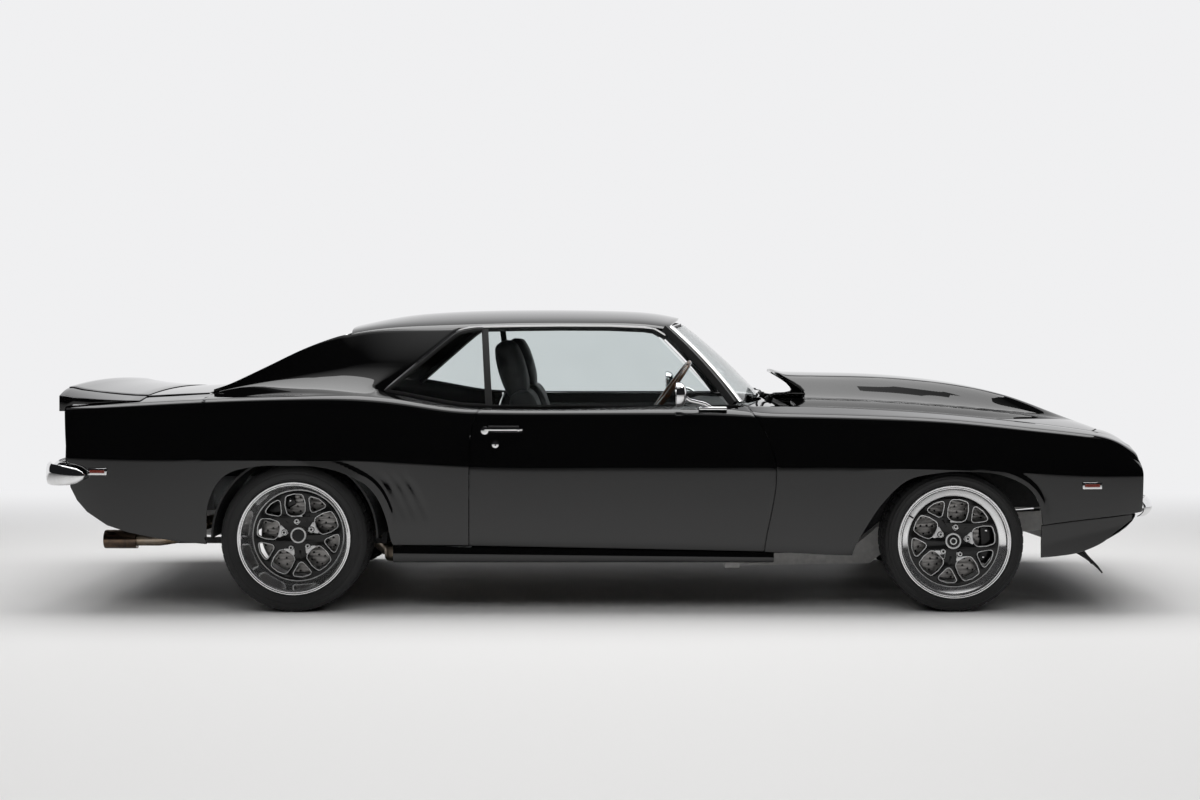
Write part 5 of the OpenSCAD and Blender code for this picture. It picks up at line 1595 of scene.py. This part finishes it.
class CAR_OT_wheels(Operator):
    """Wheels: forked spokes, deep polished rims, drilled brake discs, valves and lug nuts"""
    bl_idname = "car.wheels"
    bl_label = "Wheels"

    def execute(self, context):
        for end, d, w, angle, valve_a in (("front", FRONT_DISH, FRONT_RIM_W, 9, 150),
                ("rear", REAR_DISH, REAR_RIM_W, 24, 177)):
            low, high = box_mm(f"wheel_{end}_right")
            centre = ((low.x + high.x) / 2, low.y, (low.z + high.z) / 2)
            pieces = wheel_face(d, angle)
            for p in pieces:
                p.data.transform(Matrix.Translation(Vector((centre[0], centre[1] + d, centre[2])) * MM))
            lip = [(RIM_R, 8), (RIM_R, 3), (234.6, 0.8), (232, 0.2), (229.4, 0.8), (228.2, 2.6),
                (227.6, 4.6), (226.4, 4.6), (225.6, 2.8), (223.4, 1.8), (220.6, 3), (219.4, 6)]
            barrel = [(lerp(217.5, 191.5, t ** 1.25), lerp(12, d - 3, t))
                for t in [k / 12 for k in range(13)]]
            back = [(190, d + 2), (190, d + 27), (204, d + 52), (213, d + 70), (214, w - 8), (219, w - 1),
                (RIM_R, w - 1), (RIM_R, w - 7), (226.5, w - 10), (226.5, w / 2), (226.5, 14), (228, 9)]
            rim = lathe("rim", lip + barrel + back, centre, polished_lip(), steps=160)
            ring = lathe("step", [(188, d - 2.2), (191.2, d - 3.4), (191.8, d - 1), (191.8, d + 2),
                (187, d + 2), (187, d - 1)], centre, machined(), steps=128)
            plate = disc_plate(DISC_R)
            plate.data.transform(Matrix.Translation(Vector((centre[0],
                centre[1] + d + SPOKE_T + DISC_GAP + 4, centre[2])) * MM))
            soften(plate, 40)
            core = lathe("disc core", [(76, 10), (160, 10), (160, 20), (76, 20)],
                (centre[0], centre[1] + d + 54, centre[2]), cast_iron(), steps=64)
            rear_plate = lathe("disc back", [(76, 20.5), (166, 20.5), (166, 27.5), (76, 27.5)],
                (centre[0], centre[1] + d + 54, centre[2]), disc_steel(), steps=64)
            hat = lathe("hat", [(0, d + 26), (72, d + 26), (79, d + 34), (79, d + 70), (0, d + 70)], centre,
                cast_iron(), steps=64)
            a = math.radians(valve_a)
            valve = [(centre[0] + r * math.cos(a), centre[1] + y, centre[2] + r * math.sin(a)) for r,
                y in ((216, 22 if d < 60 else 40), (205, 14 if d < 60 else 34),
                    (196, 10 if d < 60 else 30))]
            stem = sweep("valve", valve, 3.4, trim_black())
            unit = joined(f"wheel_{end}_right_unit", pieces
                + [rim, ring, plate, core, rear_plate, hat, stem])
            left = other_side(unit, f"wheel_{end}_left_unit")
            fit(unit, f"wheel_{end}_right", "wheel_alloy", f"wheel_{end}_right")
            fit(left, f"wheel_{end}_left", "wheel_alloy", f"wheel_{end}_left")
        return {"FINISHED"}


class CAR_OT_tyres(Operator):
    """Tyres with sidewall ribs and a cut tread"""
    bl_idname = "car.tyres"
    bl_label = "Tyres"

    def execute(self, context):
        cut = sizes().tread_depth / MM
        for end, d, w, rim_w in (("front", 586, 240, FRONT_RIM_W), ("rear", 616, 312, REAR_RIM_W)):
            low, high = box_mm(f"tyre_{end}_right")
            centre = ((low.x + high.x) / 2, (low.y + high.y) / 2, (low.z + high.z) / 2)
            b, h, R = rim_w / 2 - 9.5, w / 2, d / 2
            half = [(228, b), (238.5, b), (239.5, b + 7), (243, b + 9), (246, b + 8.4), (249, h - 3.5),
                (255, h - 1.4), (lerp(240, R, 0.40), h - 0.2), (lerp(240, R, 0.42), h - 1.6),
                    (lerp(240, R, 0.50), h - 1.8), (lerp(240, R, 0.52), h - 0.4),
                    (lerp(240, R, 0.62), h - 1.6), (R - 17, h - 6), (R - 15.8, h - 8.5), (R - 11, h - 11),
                    (R - 6.2, h - 16), (R - 3, h - 24), (R - 1.2, h - 36), (R - 0.4, h - 46)]
            grooves = []
            for y0 in (h - 52, h * 0.42, h * 0.06):
                grooves += [(R - 0.3, y0 + 5), (R - cut, y0 + 4), (R - cut, y0 - 4), (R - 0.1, y0 - 5)]
            half += [g for g in grooves if g[1] > 1]
            profile = half + [(r, -y) for r, y in half[::-1]]
            sipes = {j for j, (r, y) in enumerate(profile) if R - 12 < r and r > R - cut + 0.5}

            def shape(i, j, r):
                return r - (cut - 1.5) * 0.8 if j in sipes and (i
                    + (2 if j > len(profile) // 2 else 0)) % 6 == 0 else r

            tyre = lathe(f"tyre_{end}_right_unit", profile, centre, tyre_rubber(), steps=288, shape=shape,
                angle=30)
            left = other_side(tyre, f"tyre_{end}_left_unit")
            fit(tyre, f"wheel_{end}_right", "tyre_rubber", f"tyre_{end}_right")
            fit(left, f"wheel_{end}_left", "tyre_rubber", f"tyre_{end}_left")
        return {"FINISHED"}


class CAR_OT_brakes(Operator):
    """Brake calipers over the discs, and the front knuckles"""
    bl_idname = "car.brakes"
    bl_label = "Brakes"

    def execute(self, context):
        for side, s in SIDES:
            made = caliper(FRONT_AXLE, FRONT_HUB_Z, FRONT_RIM_Y - FRONT_DISH - SPOKE_T - DISC_GAP, -6)
            hub = drum("hub", (FRONT_AXLE, -762, FRONT_HUB_Z), 55, 34, cast_iron(), edge=3)
            post = block("upright", (FRONT_AXLE - 24, -750, 218), (FRONT_AXLE + 24, -718, 395), cast_iron(),
                edge=8)
            knuckle = joined("knuckle_right_unit", made + [hub, post])
            if s < 0:
                knuckle = moved_over(knuckle, "knuckle_left_unit")
            fit(knuckle, f"knuckle_{side}", "chassis_paint", f"knuckle_{side}")
        pair = []
        for _, s in SIDES:
            made = joined("rear caliper", caliper(REAR_AXLE, REAR_HUB_Z,
                REAR_RIM_Y - REAR_DISH - SPOKE_T - DISC_GAP, 128))
            pair.append(moved_over(made, "rear caliper left") if s < 0 else made)
        fit(joined("rear_calipers", pair), "body", "chassis_paint")
        return {"FINISHED"}


def caliper(x, z, disc_y, angle):
    """A four-piston caliper across a disc's rim; disc_y is the disc's outer face from the centre line."""
    rows = []
    out = [(118, 6), (124, 17), (150, 19), (174, 16), (181, 6), (182, -14), (181, -32), (172, -42),
        (130, -42), (126, -36), (168, -34), (172, -30), (172, 3), (168, 5), (124, 5)]
    for k in range(25):
        a = math.radians(angle - 30 + 60 * k / 24)
        squeeze = 1 - 0.25 * abs(k - 12) ** 4 / 12 ** 4
        rows.append([(x + (150 + (r - 150) * squeeze) * math.cos(a), -(disc_y + y),
            z + (150 + (r - 150) * squeeze) * math.sin(a)) for r, y in out])
    return [loft("caliper", rows, spoke_black(), edge=2.5)] + [
        drum("bolt", (x + 150 * math.cos(math.radians(angle + k)), -(disc_y + 19),
            z + 150 * math.sin(math.radians(angle + k))), 6, 6, chrome(), sides=6) for k in (-22, 22)]


# ---- Cabin ----

class CAR_OT_seats(Operator):
    """High-backed front seats and the rear bench, as puffed padding"""
    bl_idname = "car.seats"
    bl_label = "Seats"

    def execute(self, context):
        base = cushion("cushion", (-270, 176, 262), (206, 614, 436), leather())
        back = cushion("backrest", (-76, 178, 0), (76, 612, 560), leather())
        tilt(back, (-232, 0, 372), -16.5, widen=lambda t: lerp(1.0, 0.86, smooth((t - 0.55) / 0.45)),
            thin=lambda t: lerp(1.0, 0.62, t))
        head = cushion("head_restraint", (-46, 262, 0), (46, 528, 250), leather())
        tilt(head, (-392, 0, 880), -16, widen=lambda t: lerp(1.0, 0.8, t), thin=lambda t: 1)
        soft = [base, back, head]
        for k, s in (("right", -1), ("left", 1)):
            for part in soft:
                twin = copied(part, f"seat_{part.name}_{k}",
                    lambda v: Vector((v.x, v.y if s > 0 else -v.y, v.z)), flip=s < 0)
                fit(twin, "body", "seat_leather", "front_seats")
            shell = block(f"seat_shell_{k}", (-300, min(s * 190, s * 600), 236),
                (200, max(s * 190, s * 600), 300), dash_black(), edge=10)
            fit(shell, "body", "seat_leather", "front_seats")
        for part in soft:
            bpy.data.objects.remove(part)
        # Two rear cushions, one each side of the tunnel
        for i, y in enumerate((-534, 158)):
            pad = cushion(f"rear_cushion_{i}", (-890, y, 300), (-596, y + 376, 448), leather())
            fit(pad, "body", "seat_leather", "rear_seat")
        rear = cushion("rear_backrest", (-60, -532, 0), (60, 532, 440), leather())
        tilt(rear, (-960, 0, 425), -27, widen=lambda t: 1, thin=lambda t: 0.9)
        fit(rear, "body", "seat_leather", "rear_seat")
        return {"FINISHED"}


def cushion(name, low, high, finish):
    """A block of padding, puffed as cloth under pressure, its growth capped."""
    pad = block(name, low, high, finish, edge=26, segments=4)
    modify(pad, "REMESH", mode="VOXEL", voxel_size=(0.0125))
    start = [v.co.copy() for v in pad.data.vertices]
    select(pad)
    bpy.ops.object.modifier_add(type="CLOTH")
    cloth = pad.modifiers[-1]
    cloth.settings.use_pressure = True
    cloth.settings.uniform_pressure_force = 4
    cloth.settings.effector_weights.gravity = 0
    cloth.point_cache.frame_end = 14
    for frame_number in range(1, 13):
        bpy.context.scene.frame_set(frame_number)
    bpy.ops.object.modifier_apply(modifier=cloth.name)
    bpy.context.scene.frame_set(1)
    cap = sizes().seat_puff
    for v, was in zip(pad.data.vertices, start):
        step = v.co - was
        if step.length > cap:
            v.co = was + step * (cap / step.length)
    return soften(pad, 60)


def tilt(obj, foot, degrees, widen, thin):
    """Narrows a cushion upwards, leans it back and sets it on its foot."""
    low = min(v.co.z for v in obj.data.vertices)
    tall = max(v.co.z for v in obj.data.vertices) - low
    mid = (min(v.co.y for v in obj.data.vertices) + max(v.co.y for v in obj.data.vertices)) / 2
    lean = Matrix.Translation(Vector(foot) * MM) @ Matrix.Rotation(math.radians(degrees), 4, "Y")
    for v in obj.data.vertices:
        t = (v.co.z - low) / tall
        v.co = lean @ Vector((v.co.x * thin(t), mid + (v.co.y - mid) * widen(t), v.co.z))
    return obj


class CAR_OT_cabin(Operator):
    """Dashboard, steering wheel, carpet and headliner"""
    bl_idname = "car.cabin"
    bl_label = "Cabin"

    def execute(self, context):
        half = HALF_W - HOOD_IN - 2
        ring = [(812, 604), (640, 602), (420, 622), (366, 700), (372, 800), (386, 822), (440, 838),
            (640, 832), (644, 700), (812, 688)]
        dash = loft("dash", [[(x, y, z) for x, z in ring] for y in (-half, half)], dash_black(), edge=8)
        pods = []
        for y, r in ((320, 46), (440, 46), (230, 28), (520, 28)):
            pods.append(lathe_x("pod", [(r, 6), (r, -12), (r - 4, -14), (r - 6, -4), (0, -4), (0, 6)],
                (372, y, 762), dash_black(), steps=40))
        strip = block("panel", (362.5, -620, 690), (372, 160, 742), satin_black(), edge=2)
        fit(joined("dashboard_top", [dash, strip] + pods), "body", "dash_plastic", "dashboard")

        turn = Matrix.Translation(Vector((280, 380, 870)) * MM) @ Matrix.Rotation(math.radians(-54), 4, "Y")
        rim = sweep("rim", [(172 * math.cos(2 * math.pi * k / 72), 172 * math.sin(2 * math.pi * k / 72), 0)
            for k in range(72)], 12.5, varnished_wood(), closed=True)
        spokes = []
        for k in range(3):
            spoke = block("spoke", (36, -11, -3), (166, 11, 3), machined(), edge=1.5)
            for r in (74, 104, 134):
                carve(spoke, drum("hole", (r, 0, 0), 7, 20, machined(), axis="Z", edge=0, sides=20))
            spoke.data.transform(Matrix.Rotation(math.radians(120 * k), 4, "Z"))
            spokes.append(spoke)
        boss = drum("boss", (0, 0, -9), 44, 25, dash_black(), axis="Z", edge=5)
        column = drum("column", (0, 0, -62), 22, 80, dash_black(), axis="Z", edge=2)
        wheel = joined("steering_wheel_rim", [rim] + spokes + [boss, column])
        wheel.data.transform(turn)
        fit(wheel, "body", "rim_wood", "steering_wheel")

        rows = [[(x, y, 414 if abs(y) < 150 else 231) for y in (-744, -400, -151, -150, 0, 150, 151, 400,
            744)] for x in (-560, -200, 200, 560, 806)]
        fit(sheet("carpet", [rows], carpet(), thickness=2, edge=0), "body", "dash_plastic")
        trunk = []
        for x in (-1640, -1700, -1900, -2060, -2160):
            edge = side_in(x, 560) - 26
            trunk.append([(x, y, z) for y, z in [(-edge, 640), (-edge, 560), (-edge + 20, 440)]
                + [(k * 0.2 * (edge - 20), 424) for k in range(-5, 6)]
                + [(edge - 20, 440), (edge, 560), (edge, 640)]])
        trunk_mat = sheet("trunk_mat", [trunk[::-1]], carpet(), thickness=2, edge=0)
        fit(trunk_mat, "body", "dash_plastic")
        lining = [[(x, y, ROOF_CROWN(x) - ROOF_T - 14 - 44 * (abs(y) / 560) ** 2.4)
            for y in [k * 28 for k in range(-20, 21)]] for x in spread(-1040, 200, step=40)]
        roof_lining = sheet("headliner", [[r[::-1] for r in lining]], headliner(), thickness=3, edge=0)
        fit(roof_lining, "body", "dash_plastic")
        return {"FINISHED"}


# ---- Underbody: construction nodes that keep their own shape, with a finish each ----

FINISHES = {
    "floor_pan": underbody, "front_subframe": frame_coat, "radiator": radiator_core,
    "wheelhouses": underbody,
    "engine_block": engine_grey, "fuel_tank": plated_steel, "rear_axle": cast_iron,
    "front_control_arms": cast_iron}


class CAR_OT_underbody(Operator):
    """Finishes of the floor, frame, engine, axle and tank, and the exhaust with its bronze tips"""
    bl_idname = "car.underbody"
    bl_label = "Underbody"

    def execute(self, context):
        for name, finish in FINISHES.items():
            node = NODES[name]
            node.data.materials.clear()
            node.data.materials.append(finish())
        pipes = []
        for s in (-1, 1):
            route = [(-990, 270, 186), (-1060, 276, 250), (-1130, 290, 340), (-1210, 300, 398),
                (-1306, 310, 428), (-1400, 330, 408), (-1500, 360, 362), (-1690, 450, 346),
                (-1760, 530, 330), (-1810, 590, 306), (-1870, 604, 280), (-1930, 604, 272),
                (-2050, 604, 272)]
            pipes.append(sweep("pipe", [(x, s * y, z) for x, y, z in route], 29, warm_steel()))
            pipes.append(sweep("front pipe", [(-381, s * 250, 182), (900, s * 250, 182)], 29, warm_steel()))
            pipes.append(block("muffler", (-1000, min(s * 171, s * 339), 141),
                (-381, max(s * 171, s * 339), 222), warm_steel(), edge=24, segments=4))
            pipes.append(lathe_x("tip", [(40, 0), (40, -132), (38.5, -138), (36, -139), (35, -134),
                (35, -12), (30, -8), (30, 0)], (-2028, s * 604, 272), bronze_tip()))
        fit(joined("exhaust_pipes", pipes), "body", "exhaust_steel", "exhaust_system")
        return {"FINISHED"}


# ---- Stage ----

class CAR_OT_stage(Operator):
    """Pale studio: floor and backdrop, soft lights, the world, and the camera"""
    bl_idname = "car.stage"
    bl_label = "Stage"

    def execute(self, context):
        finish = bpy.data.materials.new("Backdrop")
        finish.use_nodes = True
        shader = finish.node_tree.nodes["Principled BSDF"]
        shader.inputs["Base Color"].default_value = colours().backdrop
        shader.inputs["Roughness"].default_value = 0.6
        shader.inputs["Specular IOR Level"].default_value = 0.2
        # The wall behind shows plain white to the camera, metal and glass; the floor keeps its shadow
        tree = finish.node_tree
        path = tree.nodes.new("ShaderNodeLightPath")
        spot, split = tree.nodes.new("ShaderNodeTexCoord"), tree.nodes.new("ShaderNodeSeparateXYZ")
        seen, sees, share = [tree.nodes.new("ShaderNodeMath") for _ in range(3)]
        seen.operation = sees.operation = "MAXIMUM"
        share.operation = "MULTIPLY"
        reach = tree.nodes.new("ShaderNodeMapRange")
        reach.interpolation_type = "SMOOTHSTEP"
        reach.inputs["From Min"].default_value, reach.inputs["From Max"].default_value = 1.2, 4.8
        glow, blend = tree.nodes.new("ShaderNodeEmission"), tree.nodes.new("ShaderNodeMixShader")
        glow.inputs["Color"].default_value = (0.87, 0.87, 0.88, 1)
        links = tree.links
        links.new(path.outputs["Is Camera Ray"], seen.inputs[0])
        links.new(path.outputs["Is Glossy Ray"], seen.inputs[1])
        links.new(seen.outputs[0], sees.inputs[0])
        links.new(path.outputs["Is Transmission Ray"], sees.inputs[1])
        links.new(spot.outputs["Object"], split.inputs[0])
        links.new(split.outputs["Y"], reach.inputs["Value"])
        links.new(sees.outputs[0], share.inputs[0])
        links.new(reach.outputs["Result"], share.inputs[1])
        links.new(share.outputs[0], blend.inputs[0])
        links.new(shader.outputs[0], blend.inputs[1])
        links.new(glow.outputs[0], blend.inputs[2])
        links.new(blend.outputs[0], tree.nodes["Material Output"].inputs["Surface"])
        line = [(-30000, 0), (7000, 0)] + [(7000 + 3000 * math.sin(a), 3000 - 3000 * math.cos(a))
            for a in [math.pi / 2 * k / 16 for k in range(1, 17)]] + [(10000, 12000)]
        rows = [[(x, y, z) for x in (30000, -30000)] for y, z in line]
        floor = make("Floor", [p for row in rows for p in row], grid_faces(rows), finish)
        soften(floor, 60)

        world = bpy.data.worlds.new("Studio")
        world.use_nodes = True
        context.scene.world = world
        tree = world.node_tree
        links = tree.links
        shade = tree.nodes["Background"]
        spot, split = tree.nodes.new("ShaderNodeTexCoord"), tree.nodes.new("ShaderNodeSeparateXYZ")
        ramp = tree.nodes.new("ShaderNodeValToRGB")
        ramp.color_ramp.elements[0].position, ramp.color_ramp.elements[0].color = 0.84, (0.012, 0.012,
            0.013, 1)
        ramp.color_ramp.elements[1].position, ramp.color_ramp.elements[1].color = 0.97, (0.9, 0.9, 0.9, 1)
        path, mix = tree.nodes.new("ShaderNodeLightPath"), tree.nodes.new("ShaderNodeMix")
        mix.data_type = "RGBA"
        links.new(spot.outputs["Generated"], split.inputs[0])
        links.new(split.outputs["Z"], ramp.inputs["Fac"])
        links.new(path.outputs["Is Camera Ray"], mix.inputs[0])
        links.new(ramp.outputs["Color"], mix.inputs[6])
        mix.inputs[7].default_value = (0.87, 0.87, 0.88, 1)
        links.new(mix.outputs[2], shade.inputs["Color"])

        def lamp(name, location, target, size, size_y, watts):
            data = bpy.data.lights.new(name, "AREA")
            data.shape, data.size, data.size_y, data.energy = "RECTANGLE", size, size_y, watts
            made = bpy.data.objects.new(name, data)
            context.scene.collection.objects.link(made)
            made.location = location
            made.rotation_euler = (Vector(target) - Vector(location)).to_track_quat("-Z", "Y").to_euler()
            return made

        lamp("Overhead", (0, 0.6, 4.6), (0, 0, 0), 8, 3.6, 300)
        lamp("Near floor", (0, -6, 5.0), (0, -6, 0), 12, 5, 250).visible_glossy = False

        data = bpy.data.cameras.new("Camera")
        camera = bpy.data.objects.new("Camera", data)
        context.scene.collection.objects.link(camera)
        camera.location = (0.048, -8.9, 1.2146)
        camera.rotation_euler = (math.pi / 2, 0, 0)
        data.lens, data.shift_x, data.shift_y = 57.83, -0.01667, -0.0667
        context.scene.camera = camera
        context.scene.view_settings.view_transform = "Standard"
        return {"FINISHED"}


PIECES = (
    CAR_OT_stage, CAR_OT_fenders, CAR_OT_quarters, CAR_OT_doors, CAR_OT_hood, CAR_OT_trunk, CAR_OT_spoiler,
    CAR_OT_nose, CAR_OT_tail,
    CAR_OT_sills, CAR_OT_glass, CAR_OT_trim, CAR_OT_bumpers, CAR_OT_face, CAR_OT_handles, CAR_OT_mirrors,
    CAR_OT_wheels, CAR_OT_tyres, CAR_OT_brakes, CAR_OT_seats, CAR_OT_cabin, CAR_OT_underbody)


class CAR_PT_build(Panel):
    """Sizes, colours and one button for each group of pieces"""
    bl_label = "Muscle car"
    bl_idname = "CAR_PT_build"
    bl_space_type = "VIEW_3D"
    bl_region_type = "UI"
    bl_category = "Muscle car"

    def draw(self, context):
        for settings in (context.scene.car_sizes, context.scene.car_colours):
            box = self.layout.box()
            for name in settings.__annotations__:
                box.prop(settings, name)
        for piece in PIECES:
            self.layout.operator(piece.bl_idname)


CLASSES = (CarSizes, CarColours) + PIECES + (CAR_PT_build,)


def register():
    for c in CLASSES:
        bpy.utils.register_class(c)
    bpy.types.Scene.car_sizes = PointerProperty(type=CarSizes)
    bpy.types.Scene.car_colours = PointerProperty(type=CarColours)


def unregister():
    del bpy.types.Scene.car_colours, bpy.types.Scene.car_sizes
    for c in reversed(CLASSES):
        bpy.utils.unregister_class(c)


def main():
    register()
    for piece in PIECES:
        group, name = piece.bl_idname.split(".")
        getattr(getattr(bpy.ops, group), name)()


if __name__ == "__main__":
    main()
